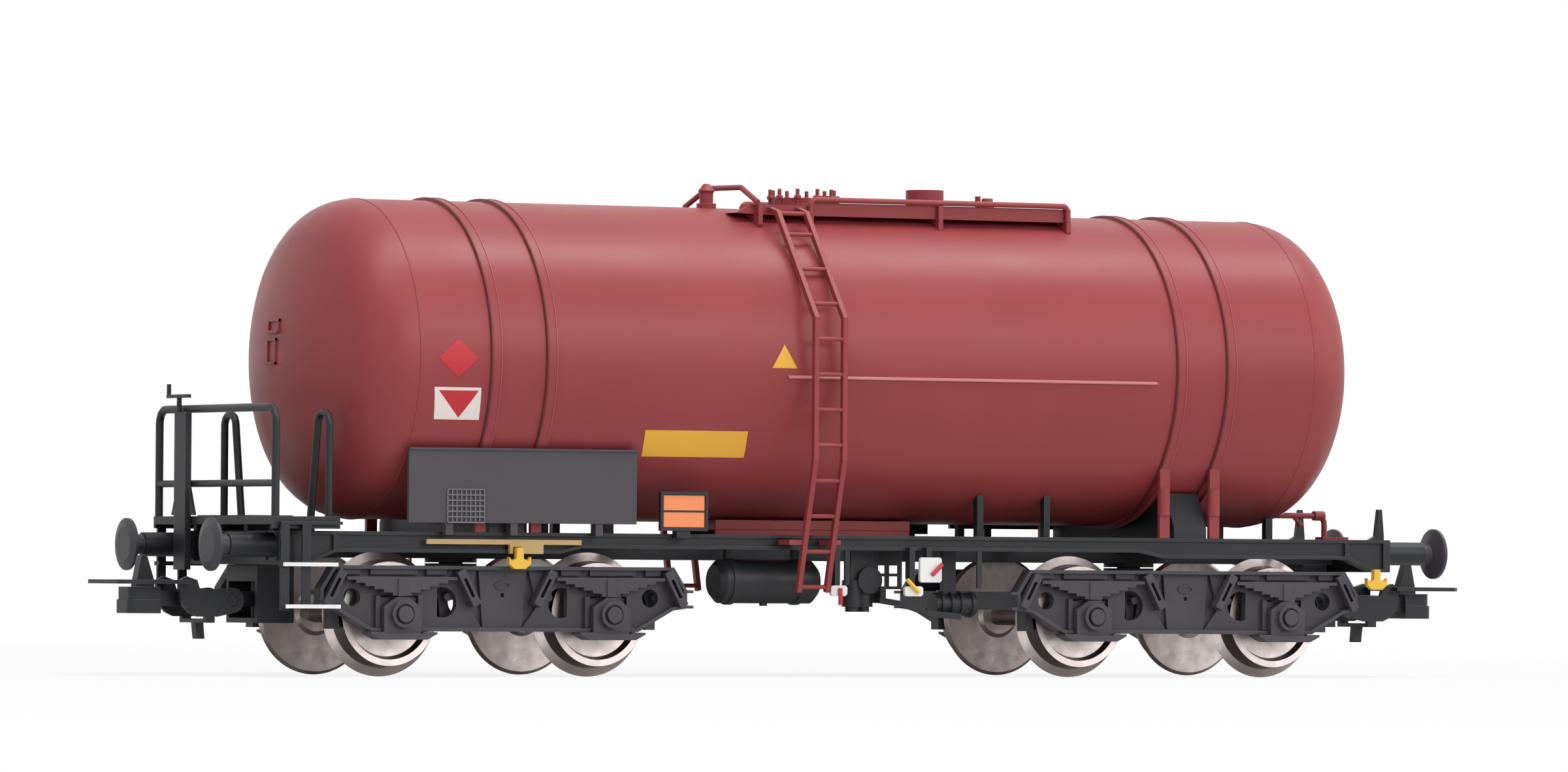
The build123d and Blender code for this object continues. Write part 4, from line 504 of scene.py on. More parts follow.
class Forge:
    """Makes plain meshes of small printed, cut and turned pieces."""

    @staticmethod
    def piece(name: str, body: str, slot: str, mesh: bpy.types.Mesh, material: bpy.types.Material) -> None:
        """Place a finished mesh on its body.

        Args:
            name: Name of the new piece.
            body: Body that it rides on.
            slot: Material slot of the record, not used.
            mesh: Mesh with its place in its points.
            material: Its finish.
        """
        if not mesh.materials:
            mesh.materials.append(material)
        made = bpy.data.objects.new(name, mesh)
        bpy.context.scene.collection.objects.link(made)
        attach(made, body)
        LOG.info("%s: %d faces on %s", name, len(mesh.polygons), body)

    @staticmethod
    def box(work: bmesh.types.BMesh, low: Point, high: Point, chamfer: float = 0.0) -> None:
        """Add a block, with its edges broken where a chamfer is given.

        Args:
            work: Mesh that takes it.
            low: Lowest corner.
            high: Highest corner.
            chamfer: How much is taken off each edge.
        """
        centre = [(a + b) / 2 for a, b in zip(low, high)]
        size = [b - a for a, b in zip(low, high)]
        place = Matrix.Translation(centre) @ Matrix.Diagonal((*size, 1.0))
        made = bmesh.ops.create_cube(work, size=1.0, matrix=place)
        if chamfer > 0.0:
            edges = {edge for vert in made["verts"] for edge in vert.link_edges}
            bmesh.ops.bevel(work, geom=list(edges), offset=chamfer, segments=1, affect="EDGES")

    @staticmethod
    def turned(
        work: bmesh.types.BMesh,
        outline: list[tuple[float, float]],
        place: Matrix,
        steps: int,
        capped: bool = True,
    ) -> None:
        """Add a piece turned about the local Z line.

        Args:
            work: Mesh that takes it.
            outline: Radius and height of each corner, from the low end up.
            place: Where the piece goes.
            steps: Sides of the turned piece.
            capped: Whether both ends are closed, else the outline itself is a closed loop.
        """
        rings = []
        turns = [2 * pi * index / steps for index in range(steps)]
        for radius, height in outline:
            spots = [Vector((radius * cos(turn), radius * sin(turn), height)) for turn in turns]
            rings.append([work.verts.new(place @ spot) for spot in spots])
        pairs = list(zip(rings, rings[1:]))
        if not capped:
            pairs.append((rings[-1], rings[0]))
        for low, high in pairs:
            for index in range(steps):
                after = (index + 1) % steps
                work.faces.new((low[index], low[after], high[after], high[index]))
        if capped:
            work.faces.new(list(reversed(rings[0])))
            work.faces.new(rings[-1])

    @staticmethod
    def mesh_of(name: str, work: bmesh.types.BMesh) -> bpy.types.Mesh:
        """Close a work mesh into a plain one with outward faces.

        Args:
            name: Name of the new mesh.
            work: Mesh to close, which is freed.

        Returns:
            The plain mesh.
        """
        bmesh.ops.remove_doubles(work, verts=work.verts, dist=1e-7)
        bmesh.ops.recalc_face_normals(work, faces=work.faces)
        mesh = bpy.data.meshes.new(name)
        work.to_mesh(mesh)
        work.free()
        return mesh


@dataclass(frozen=True)
class BandEdge:
    """One of the two rings along each band: the shaded one is painted dark red as shade, the lit one paler
    red as a highlight.
        offset: Its distance from the band's middle, along the tank.
        width: Its width along the tank.
        paint: Its finish.
    """

    name: str
    offset: float
    width: float
    paint: Paint


@dataclass(frozen=True)
class Sign:
    """A blank printed patch on the near side of the tank.

    Args:
        name: Name of the piece.
        paint: Its finish.
        corners: X and height Z of each corner, in millimetres.
        lift: How far its face stands off the tank, in millimetres.
    """

    name: str
    paint: Paint
    corners: tuple[tuple[float, float], ...]
    lift: float = 0.03


# The shaded ring is painted dark red as shade, the lit ring paler red as a highlight
BAND_EDGES = (
    BandEdge("band_edges_shaded", -0.46 * MM, 0.3 * MM, Paint.SHADE_RED),
    BandEdge("band_edges_lit", 0.5 * MM, 0.15 * MM, Paint.BAND_HIGHLIGHT_RED),
)
SIGNS = (
    Sign("placard_diamond", Paint.PRINT_RED, ((-46.1, 33.3), (-48.3, 31.4), (-46.1, 29.5), (-43.9, 31.4))),
    Sign("placard_panel", Paint.PRINT_CREAM, ((-48.6, 28.5), (-48.2, 25.35), (-43.3, 25.35), (-43.5, 28.5))),
    Sign("placard_triangle", Paint.PRINT_RED, ((-48.1, 28.2), (-45.6, 25.55), (-43.75, 28.2)), lift=0.045),
    Sign("test_panel", Paint.PRINT_YELLOW, ((-24.7, 24.6), (-24.35, 22.0), (-12.85, 22.0), (-13.2, 24.6))),
    Sign("ladder_sign", Paint.PRINT_YELLOW, ((-11.3, 30.95), (-8.5, 30.95), (-9.9, 33.3))),
)


@dataclass
class TankDressing:
    """Seams, raised strips and blank printed patches on the tank.

    Args:
        shop: Where its finishes come from.
        radius: Radius of the tank's skin.
        axis_z: Height of its axis.
        print_depth: How far patches and rings reach into the skin.
        arc_step: Longest flat stretch of a patch round the tank.
        dish_centre: X of the centre of the platform end's dish.
        dish_radius: Radius of that dish.
        bands: X of the four bands' middles.
        band_height: How far the bands' edges stand off the skin.
        seam_x: X of the weld seams.
        seam_width: Width of a seam.
        seam_height: How far a seam stands off the skin.
        strip_x: Ends of the raised strip on the near side.
        strip_z: Height of its middle.
        strip_profile: Its section, as millimetres out from the skin and up from its middle.
        end_frames_at: Lowest and highest Y and lowest and highest Z of each end frame, in millimetres.
        frame_bar: Width of an end frame's bars.
        frame_sunk: How far the bars reach into the dish.
        frame_proud: How far the bars stand off it.
        ledge_proud: How far a frame's lowest bar stands off it.
    """

    shop: PaintShop
    radius: float = 15.94 * MM
    axis_z: float = 31.48 * MM
    print_depth: float = 0.03 * MM
    arc_step: float = 0.5 * MM
    dish_centre: float = -28.44 * MM
    dish_radius: float = 30.0 * MM
    bands: tuple[float, float, float, float] = (-42.0 * MM, -35.9 * MM, 36.0 * MM, 41.9 * MM)
    band_height: float = 0.31 * MM
    seam_x: tuple[float, float] = (-50.15 * MM, 51.95 * MM)
    seam_width: float = 0.3 * MM
    seam_height: float = 0.05 * MM
    strip_x: tuple[float, float] = (-9.5 * MM, 33.1 * MM)
    strip_z: float = 30.07 * MM
    strip_profile: tuple[tuple[float, float], ...] = (
        (-0.1, -0.17),
        (0.26, -0.15),
        (0.26, -0.06),
        (0.02, 0.17),
        (-0.1, 0.17),
    )
    end_frames_at: tuple[tuple[float, float, float, float], ...] = (
        (0.0, 2.2, 30.8, 33.4),
        (-0.4, 2.3, 33.9, 35.3),
    )
    frame_bar: float = 0.26 * MM
    frame_sunk: float = 0.1 * MM
    frame_proud: float = 0.2 * MM
    ledge_proud: float = 0.38 * MM

    def patch(self, work: bmesh.types.BMesh, outline: list[tuple[float, float]], lift: float) -> None:
        """Add a thin patch that lies round the near side of the tank.

        Args:
            work: Mesh that takes it.
            outline: Convex outline as X and height Z, in metres.
            lift: How far its face stands off the tank.
        """
        points = [(x, asin((z - self.axis_z) / self.radius) * self.radius) for x, z in outline]
        flat = bmesh.new()
        flat.faces.new([flat.verts.new((x, 0.0, arc)) for x, arc in points])
        low = min(arc for _, arc in points)
        high = max(arc for _, arc in points)
        steps = max(2, round((high - low) / self.arc_step))
        for index in range(1, steps):
            cut = (0.0, 0.0, low + (high - low) * index / steps)
            geometry = flat.verts[:] + flat.edges[:] + flat.faces[:]
            bmesh.ops.bisect_plane(flat, geom=geometry, plane_co=cut, plane_no=(0, 0, 1))
        made: dict[tuple[int, float], bmesh.types.BMVert] = {}

        def corner(vert: bmesh.types.BMVert, out: float) -> bmesh.types.BMVert:
            """Point of the patch, round the tank at a distance from its skin.

            Args:
                vert: Point of the flat patch.
                out: Distance from the skin.

            Returns:
                The point, made on first use.
            """
            key = (vert.index, out)
            if key not in made:
                turn = vert.co.z / self.radius
                reach = self.radius + out
                made[key] = work.verts.new((vert.co.x, -reach * cos(turn), self.axis_z + reach * sin(turn)))
            return made[key]

        flat.verts.index_update()
        for face in flat.faces:
            work.faces.new([corner(vert, lift) for vert in face.verts])
            work.faces.new([corner(vert, -self.print_depth) for vert in reversed(face.verts)])
        for edge in flat.edges:
            if edge.is_boundary:
                first, last = edge.verts
                rim = [corner(vert, lift) for vert in (first, last)]
                rim += [corner(vert, -self.print_depth) for vert in (last, first)]
                work.faces.new(rim)
        flat.free()

    def ring(self, work: bmesh.types.BMesh, x: float, width: float, height: float, steps: int = 180) -> None:
        """Add a low bead round the whole tank.

        Args:
            work: Mesh that takes it.
            x: Its middle along the tank.
            width: Its width along the tank.
            height: How far it stands off the skin.
            steps: Sides of the ring.
        """
        turn = Matrix.Rotation(radians(90.0), 4, "Y")
        place = Matrix.Translation((x, 0.0, self.axis_z)) @ turn
        low, high = self.radius - self.print_depth, self.radius + height
        outline = [(low, -width / 2), (high, -width / 4), (high, width / 4), (low, width / 2)]
        Forge.turned(work, outline, place, steps, capped=False)

    def seams(self) -> None:
        """Weld seams at the dished ends."""
        work = bmesh.new()
        for x in self.seam_x:
            self.ring(work, x, self.seam_width, self.seam_height)
        red = self.shop.paint(Paint.TANK_RED)
        Forge.piece("weld_seams", "wagon", "tank_red", Forge.mesh_of("weld_seams", work), red)

    def band_edges(self) -> None:
        """Rings along both sides of the bands, painted dark red as their shade and paler red as their
        highlight.
        """
        for edge in BAND_EDGES:
            work = bmesh.new()
            for x in self.bands:
                self.ring(work, x + edge.offset, edge.width, self.band_height)
            mesh = Forge.mesh_of(edge.name, work)
            Forge.piece(edge.name, "wagon", "tank_red", mesh, self.shop.paint(edge.paint))

    def side_strip(self) -> None:
        """Thin raised strip along the near side, with a sloped face that catches the light, and a paler red
        as a painted highlight.
        """
        work = bmesh.new()
        skin = -sqrt(self.radius**2 - (self.strip_z - self.axis_z) ** 2)
        profile = [(skin - out * MM, self.strip_z + up * MM) for out, up in self.strip_profile]
        rows = [[work.verts.new((x, *corner)) for corner in profile] for x in self.strip_x]
        for index in range(len(profile)):
            after = (index + 1) % len(profile)
            work.faces.new((rows[0][index], rows[0][after], rows[1][after], rows[1][index]))
        work.faces.new(rows[0])
        work.faces.new(list(reversed(rows[1])))
        # Paler red painted as the strip's highlight
        strip = self.shop.paint(Paint.STRIP_HIGHLIGHT_RED)
        Forge.piece("side_strip", "wagon", "tank_red", Forge.mesh_of("side_strip", work), strip)

    def dished(self, y: float, z: float) -> float:
        """X of the platform end's dished face at a point."""
        return self.dish_centre - sqrt(self.dish_radius**2 - y**2 - (z - self.axis_z) ** 2)

    def end_frames(self) -> None:
        """Two small raised frames on the platform end of the tank, bent to its dished face."""
        red = self.shop.paint(Paint.TANK_RED)
        work = bmesh.new()
        bar = self.frame_bar
        for edges in self.end_frames_at:
            left, right, low, high = (edge * MM for edge in edges)
            for y_1, y_2, z_1, z_2, proud in (
                (left, left + bar, low, high, self.frame_proud),
                (right - bar, right, low, high, self.frame_proud),
                (left, right, high - bar, high, self.frame_proud),
                (left, right, low, low + bar, self.ledge_proud),
            ):
                first = len(work.verts)
                Forge.box(work, (-proud, y_1, z_1), (self.frame_sunk, y_2, z_2))
                work.verts.ensure_lookup_table()
                for vert in work.verts[first:]:
                    vert.co.x += self.dished(vert.co.y, vert.co.z)
        Forge.piece("end_frames", "wagon", "tank_red", Forge.mesh_of("end_frames", work), red)

    def build(self) -> None:
        """Make the seams, the raised strips and the blank coloured patches."""
        self.seams()
        self.band_edges()
        self.side_strip()
        self.end_frames()
        for sign in SIGNS:
            work = bmesh.new()
            self.patch(work, [(x * MM, z * MM) for x, z in sign.corners], sign.lift * MM)
            mesh = Forge.mesh_of(sign.name, work)
            Forge.piece(sign.name, "wagon", "tank_red", mesh, self.shop.paint(sign.paint))


class Layout(Enum):
    """How a repeat places its pieces."""

    ROW = "row"
    RING = "ring"


# Named inputs of a repeat's node tree, and their kinds
REPEAT_INPUTS = {
    "Count": "Int",
    "Start": "Vector",
    "Step": "Vector",
    "Radius": "Float",
    "Turn": "Vector",
    "Seed": "Int",
}


@dataclass
class Repeat:
    """One small piece repeated along a row or round a ring by a node tree.

    Args:
        name: Name of the tree and of its mesh.
        layout: Row or ring.
        count: Number of pieces.
        start: Place of a row's first piece, or the centre of a ring.
        step: From one piece of a row to the next.
        radius: Radius of a ring.
        turn: Rotation of a ring, with its pieces, about X, Y and Z.
        seed: Seed of the ring's random turns.
        spin: How far the pieces of a ring may turn about their own line.
    """

    name: str
    layout: Layout
    count: int
    start: Point
    step: Point = (0.0, 0.0, 0.0)
    radius: float = 0.0
    turn: Point = (0.0, 0.0, 0.0)
    seed: int = 7
    spin: float = pi / 3

    def tree(self, material: bpy.types.Material) -> tuple[bpy.types.NodeTree, dict[str, str]]:
        """Build the node tree.

        Args:
            material: Finish of the repeated pieces.

        Returns:
            The tree, and the identifier of each named input.
        """
        group = bpy.data.node_groups.new(self.name, "GeometryNodeTree")
        face = group.interface
        face.new_socket("Geometry", in_out="INPUT", socket_type="NodeSocketGeometry")
        sockets = {}
        for label, kind in REPEAT_INPUTS.items():
            made = face.new_socket(label, in_out="INPUT", socket_type=f"NodeSocket{kind}")
            sockets[label] = made.identifier
        face.new_socket("Geometry", in_out="OUTPUT", socket_type="NodeSocketGeometry")
        nodes, wires = group.nodes, group.links
        given = nodes.new("NodeGroupInput")
        result = nodes.new("NodeGroupOutput")
        spread = nodes.new("GeometryNodeInstanceOnPoints")
        place = nodes.new("GeometryNodeTransform")
        real = nodes.new("GeometryNodeRealizeInstances")
        paint = nodes.new("GeometryNodeSetMaterial")
        paint.inputs["Material"].default_value = material
        if self.layout is Layout.ROW:
            points = nodes.new("GeometryNodeMeshLine")
            wires.new(given.outputs["Step"], points.inputs["Offset"])
            wires.new(given.outputs["Count"], points.inputs["Count"])
        else:
            points = nodes.new("GeometryNodeMeshCircle")
            wires.new(given.outputs["Radius"], points.inputs["Radius"])
            wires.new(given.outputs["Count"], points.inputs["Vertices"])
        chance = nodes.new("FunctionNodeRandomValue")
        chance.data_type = "FLOAT"
        about = nodes.new("ShaderNodeCombineXYZ")
        chance.inputs[2].default_value = 0.0
        chance.inputs[3].default_value = 0.0 if self.layout is Layout.ROW else self.spin
        wires.new(given.outputs["Seed"], chance.inputs["Seed"])
        wires.new(chance.outputs[1], about.inputs["Z"])
        wires.new(about.outputs["Vector"], spread.inputs["Rotation"])
        wires.new(points.outputs["Mesh"], spread.inputs["Points"])
        wires.new(given.outputs["Geometry"], spread.inputs["Instance"])
        wires.new(spread.outputs["Instances"], place.inputs["Geometry"])
        wires.new(given.outputs["Start"], place.inputs["Translation"])
        wires.new(given.outputs["Turn"], place.inputs["Rotation"])
        wires.new(place.outputs["Geometry"], real.inputs["Geometry"])
        wires.new(real.outputs["Geometry"], paint.inputs["Geometry"])
        wires.new(paint.outputs["Geometry"], result.inputs["Geometry"])
        return group, sockets

    def mesh(self, item: bpy.types.Mesh, material: bpy.types.Material) -> bpy.types.Mesh:
        """Run the tree once and keep its result as a plain mesh.

        Args:
            item: The piece that is repeated, about its own origin.
            material: Its finish.

        Returns:
            All the pieces as one mesh.
        """
        group, sockets = self.tree(material)
        holder = bpy.data.objects.new(self.name, item)
        bpy.context.scene.collection.objects.link(holder)
        modifier = holder.modifiers.new(self.name, "NODES")
        modifier.node_group = group
        values = (self.count, self.start, self.step, self.radius, self.turn, self.seed)
        for label, value in zip(REPEAT_INPUTS, values):
            modifier[sockets[label]] = value
        graph = bpy.context.evaluated_depsgraph_get()
        mesh = bpy.data.meshes.new_from_object(holder.evaluated_get(graph))
        mesh.name = self.name
        holder.modifiers.remove(modifier)
        bpy.data.objects.remove(holder)
        return mesh


def merged(name: str, meshes: list[bpy.types.Mesh], material: bpy.types.Material) -> bpy.types.Mesh:
    """Join several meshes into one with a single finish.

    Args:
        name: Name of the result.
        meshes: Meshes to join.
        material: Finish of the result.

    Returns:
        The joined mesh.
    """
    work = bmesh.new()
    for mesh in meshes:
        work.from_mesh(mesh)
    for face in work.faces:
        face.material_index = 0
    joined = bpy.data.meshes.new(name)
    work.to_mesh(joined)
    work.free()
    joined.materials.append(material)
    return joined


@dataclass
class Fastenings:
    """Nuts, bolts, gratings and slats that repeat.

    Args:
        shop: Where their finishes come from.
        nut_radius: Radius of a manhole nut over its corners.
        nut_height: Height of a manhole nut.
        nut_count: Nuts round the manhole.
        nut_ring: Radius of their ring.
        nut_ring_x: X of the ring's middle.
        nut_drop: How far they stand under the manhole's top.
        nut_turn: Turn of the ring, in degrees.
        bolt_radius: Radius of a buffer bolt's head.
        bolt_height: Height of that head.
        bolt_foot_z: Height of the lower bolts.
        bolt_rise: From the lower to the upper bolts.
        bolt_aside: From the buffer's middle to its bolts.
        bolt_out: How far the heads stand off the headstock.
        buffer_y: From the wagon's middle to its buffers.
        wire: Thickness of the card holder's wires.
        holder_x: Ends of the card holder along the board.
        holder_z: Foot and top of the card holder.
        holder_columns: Its upright wires.
        holder_rows: Its level wires.
        level_reach: Front and back of the level wires off the uprights' back, in wires.
        board_lip: How far the board's face lies behind its top lip.
        slat: Width, length and height of a walkway slat.
        slat_count: Slats on a plank.
        slat_pitch: From slat to slat.
        slat_first_x: X of the first slat.
        slat_drop: From the walkway's top down to the planks.
        plank_y: From the wagon's middle to a plank's middle.
        rib_half: Half the width of a rib on the platform, and its height.
        rib_count: Ribs on the platform.
        rib_pitch: From rib to rib.
        rib_first_y: Y of the first rib.
        rib_inset: From the platform's edge to a rib's end.
        rib_short: How much shorter than the platform the ribs are.
        slat_chamfer: How much is taken off a slat's edges.
        rib_chamfer: How much is taken off a rib's edges.
        sunk: How far slats and ribs reach into the piece under them.
    """

    shop: PaintShop
    nut_radius: float = 0.36 * MM
    nut_height: float = 0.32 * MM
    nut_count: int = 10
    nut_ring: float = 3.3 * MM
    nut_ring_x: float = 0.4 * MM
    nut_drop: float = 0.95 * MM
    nut_turn: float = 18.0
    bolt_radius: float = 0.24 * MM
    bolt_height: float = 0.2 * MM
    bolt_foot_z: float = 11.65 * MM
    bolt_rise: float = 2.3 * MM
    bolt_aside: float = 1.2 * MM
    bolt_out: float = 0.4 * MM
    buffer_y: float = 10.06 * MM
    wire: float = 0.13 * MM
    holder_x: tuple[float, float] = (-46.3 * MM, -42.3 * MM)
    holder_z: tuple[float, float] = (15.25 * MM, 18.5 * MM)
    holder_columns: int = 9
    holder_rows: int = 7
    level_reach: tuple[float, float] = (1.6, 0.3)
    board_lip: float = 0.15 * MM
    slat: Point = (0.3 * MM, 3.6 * MM, 0.14 * MM)
    slat_count: int = 24
    slat_pitch: float = 0.95 * MM
    slat_first_x: float = 4.7 * MM
    slat_drop: float = 0.75 * MM
    plank_y: float = 4.9 * MM
    rib_half: float = 0.12 * MM
    rib_count: int = 13
    rib_pitch: float = 1.0 * MM
    rib_first_y: float = -6.0 * MM
    rib_inset: float = 1.1 * MM
    rib_short: float = 2.4 * MM
    slat_chamfer: float = 0.04 * MM
    rib_chamfer: float = 0.03 * MM
    sunk: float = 0.05 * MM

    def knob(self, radius: float, height: float, lean: Matrix | None = None) -> bpy.types.Mesh:
        """Small six-sided nut or bolt head with a broken edge, standing on its origin.

        Args:
            radius: Radius over its corners.
            height: Its height.
            lean: Turn from the Z line, or nothing.

        Returns:
            Its mesh.
        """
        work = bmesh.new()
        outline = [(radius, -0.15 * height), (radius, 0.75 * height), (0.8 * radius, height)]
        Forge.turned(work, outline, lean or Matrix.Identity(4), 6)
        return Forge.mesh_of("knob", work)

    def manhole_nuts(self) -> None:
        """Nuts on the manhole's swing bolts, just over its lid."""
        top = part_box("manhole")[1].z
        middle = (self.nut_ring_x, 0.0, top - self.nut_drop)
        turn = (0.0, 0.0, radians(self.nut_turn))
        ring = Repeat("manhole_nuts", Layout.RING, self.nut_count, middle, radius=self.nut_ring, turn=turn)
        paint = self.shop.paint(Paint.TANK_RED)
        mesh = ring.mesh(self.knob(self.nut_radius, self.nut_height), paint)
        Forge.piece("manhole_nuts", "wagon", "tank_red", mesh, paint)

    def buffer_bolts(self) -> None:
        """Four bolt heads on the square foot of each buffer."""
        low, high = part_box("headstocks")
        heads = []
        paint = self.shop.paint(Paint.FRAME_BLACK)
        for end, face, end_name in ((-1, low.x, "left"), (1, high.x, "right")):
            item = self.knob(self.bolt_radius, self.bolt_height, Matrix.Rotation(end * radians(90.0), 4, "Y"))
            for side, side_name in ((-1, "near"), (1, "far")):
                for edge, edge_name in ((-1, "inner"), (1, "outer")):
                    y = side * self.buffer_y + edge * self.bolt_aside
                    start = (face + end * self.bolt_out, y, self.bolt_foot_z)
                    name = f"buffer_bolts_{end_name}_{side_name}_{edge_name}"
                    pair = Repeat(name, Layout.ROW, 2, start, (0.0, 0.0, self.bolt_rise))
                    heads.append(pair.mesh(item, paint))
        Forge.piece("buffer_bolts", "wagon", "frame_black", merged("buffer_bolts", heads, paint), paint)

    def card_holder(self) -> None:
        """Wire lattice of the card holder on the near label board."""
        paint = self.shop.paint(Paint.HOLDER_GREY)
        (left, right), (foot, top) = self.holder_x, self.holder_z
        start = (left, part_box("label_board_near")[0].y + self.board_lip, foot)
        upright, level = bmesh.new(), bmesh.new()
        half = self.wire / 2
        Forge.box(upright, (-half, -self.wire, 0.0), (half, 0.0, top - foot))
        front, back = (-reach * self.wire for reach in self.level_reach)
        Forge.box(level, (0.0, front, -half), (right - left, back, half))
        along = ((right - left) / (self.holder_columns - 1), 0.0, 0.0)
        upwards = (0.0, 0.0, (top - foot) / (self.holder_rows - 1))
        columns = Repeat("holder_uprights", Layout.ROW, self.holder_columns, start, along)
        rows = Repeat("holder_levels", Layout.ROW, self.holder_rows, start, upwards)
        meshes = [columns.mesh(Forge.mesh_of("upright", upright), paint)]
        meshes.append(rows.mesh(Forge.mesh_of("level", level), paint))
        Forge.piece("card_holder", "wagon", "frame_black", merged("card_holder", meshes, paint), paint)

    def walkway_slats(self) -> None:
        """Tread slats across both planks of the walkway."""
        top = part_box("walkway")[1].z
        paint = self.shop.paint(Paint.TANK_RED)
        half_width, half_length, height = self.slat[0] / 2, self.slat[1] / 2, self.slat[2]
        low, high = (-half_width, -half_length, -self.sunk), (half_width, half_length, height)
        meshes = []
        for side in (-1, 1):
            work = bmesh.new()
            Forge.box(work, low, high, self.slat_chamfer)
            start = (self.slat_first_x, side * self.plank_y, top - self.slat_drop)
            row = Repeat(f"slats_{side + 1}", Layout.ROW, self.slat_count, start, (self.slat_pitch, 0.0, 0.0))
            meshes.append(row.mesh(Forge.mesh_of("slat", work), paint))
        Forge.piece("walkway_slats", "wagon", "tank_red", merged("walkway_slats", meshes, paint), paint)

    def deck_ribs(self) -> None:
        """Raised tread ribs along the brake platform's deck."""
        low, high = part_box("brake_platform")
        paint = self.shop.paint(Paint.FRAME_BLACK)
        work = bmesh.new()
        length = high.x - low.x - self.rib_short
        foot, top = (0.0, -self.rib_half, -self.sunk), (length, self.rib_half, self.rib_half)
        Forge.box(work, foot, top, self.rib_chamfer)
        start = (low.x + self.rib_inset, self.rib_first_y, high.z)
        row = Repeat("deck_ribs", Layout.ROW, self.rib_count, start, (0.0, self.rib_pitch, 0.0))
        mesh = row.mesh(Forge.mesh_of("rib", work), paint)
        Forge.piece("deck_ribs", "wagon", "frame_black", mesh, paint)

    def build(self) -> None:
        """Make every repeat."""
        self.manhole_nuts()
        self.buffer_bolts()
        self.card_holder()
        self.walkway_slats()
        self.deck_ribs()


@dataclass
class Trim:
    """Orange plate, white step edges and other small pieces on the frame.

    Args:
        shop: Where its finishes come from.
        plate_recess: From the plate frame's face back to the plate.
        plate_x: Ends of the orange plate, from the frame's left end.
        plate_drop: Foot and top of the plate, under the frame's top.
        plate_y: Front and back of the plate, from its recess.
        plate_chamfer: How much is taken off the plate's edges.
        line_half: Half the height of the plate's black line.
        line_y: Front and back of the line, from the plate's recess.
        step_rows: How far in each row of steps lies, and its height, in millimetres.
        step_width: Length of a step's white edge.
        edge_sunk: How far the white edge reaches into the step.
        edge_out: How far it stands off the step.
        edge_rise: Foot and top of the white edge over its row's height, in millimetres.
        lip: Thickness of the lips under the tank.
        lip_foot: Height of their lower edge.
        lip_drop: From the strip's top down to the lips.
        lip_chamfer: How much is taken off the lips' edges.
        drain_y: Y of the drain's stub.
        drain_back: From the drain pipe's end back to the stub.
        drain_drop: From the pipe's top down to the stub's start.
        drain_lean: Turn of the stub from upright, in degrees.
        drain_outline: Radius and height of the stub's corners, in millimetres.
    """

    shop: PaintShop
    plate_recess: float = 0.2 * MM
    plate_x: tuple[float, float] = (0.35 * MM, 4.95 * MM)
    plate_drop: tuple[float, float] = (3.55 * MM, 0.35 * MM)
    plate_y: tuple[float, float] = (-0.1 * MM, 0.02 * MM)
    plate_chamfer: float = 0.03 * MM
    line_half: float = 0.1 * MM
    line_y: tuple[float, float] = (-0.13 * MM, -0.08 * MM)
    step_rows: tuple[tuple[float, float], ...] = ((0.0, 6.7), (0.6, 10.8))
    step_width: float = 5.9 * MM
    edge_sunk: float = 0.02 * MM
    edge_out: float = 0.06 * MM
    edge_rise: tuple[float, float] = (0.03, 0.4)
    lip: float = 0.3 * MM
    lip_foot: float = 14.0 * MM
    lip_drop: float = 0.9 * MM
    lip_chamfer: float = 0.06 * MM
    drain_y: float = -5.0 * MM
    drain_back: float = 6.4 * MM
    drain_drop: float = 0.45 * MM
    drain_lean: float = 135.0
    drain_outline: tuple[tuple[float, float], ...] = (
        (0.2, -0.1),
        (0.2, 1.0),
        (0.28, 1.05),
        (0.28, 1.5),
        (0.18, 1.6),
    )

    def orange_plate(self) -> None:
        """Blank orange plate in its black frame, with a black middle line."""
        low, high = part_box("plate_holders")
        face = low.y + self.plate_recess
        left, right = (low.x + reach for reach in self.plate_x)
        foot, top = (high.z - drop for drop in self.plate_drop)
        front, back = (face + reach for reach in self.plate_y)
        plate = bmesh.new()
        Forge.box(plate, (left, front, foot), (right, back, top), self.plate_chamfer)
        orange = self.shop.paint(Paint.PLATE_ORANGE)
        Forge.piece("orange_plate", "wagon", "plate_orange", Forge.mesh_of("orange_plate", plate), orange)
        line = bmesh.new()
        middle = (foot + top) / 2
        front, back = (face + reach for reach in self.line_y)
        Forge.box(line, (left, front, middle - self.line_half), (right, back, middle + self.line_half))
        black = self.shop.paint(Paint.FRAME_BLACK)
        mesh = Forge.mesh_of("orange_plate_line", line)
        Forge.piece("orange_plate_line", "wagon", "frame_black", mesh, black)
        self.shop.dress("plate_holders", black)

    def step_edges(self) -> None:
        """White front edges of the steps, on both sides."""
        white = self.shop.paint(Paint.STEP_WHITE)
        for hand, side in (("near", -1), ("far", 1)):
            low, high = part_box(f"steps_{hand}")
            out = low.y if side < 0 else high.y
            work = bmesh.new()
            for inward, z in self.step_rows:
                edge = out - side * inward * MM
                back, front = sorted((edge - side * self.edge_sunk, edge + side * self.edge_out))
                foot, top = ((z + rise) * MM for rise in self.edge_rise)
                Forge.box(work, (low.x, back, foot), (low.x + self.step_width, front, top))
            mesh = Forge.mesh_of("step_edges", work)
            Forge.piece(f"step_edges_{hand}", "wagon", "frame_black", mesh, white)

    def belly_lips(self) -> None:
        """Folded lips along both edges of the strip under the tank."""
        low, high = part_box("belly_strip")
        red = self.shop.paint(Paint.TANK_RED)
        work = bmesh.new()
        for side in (-1, 1):
            edge = low.y if side < 0 else high.y
            near, far = sorted((edge, edge - side * self.lip))
            foot, top = (low.x, near, self.lip_foot), (high.x, far, high.z - self.lip_drop)
            Forge.box(work, foot, top, self.lip_chamfer)
        Forge.piece("belly_lips", "wagon", "tank_red", Forge.mesh_of("belly_lips", work), red)

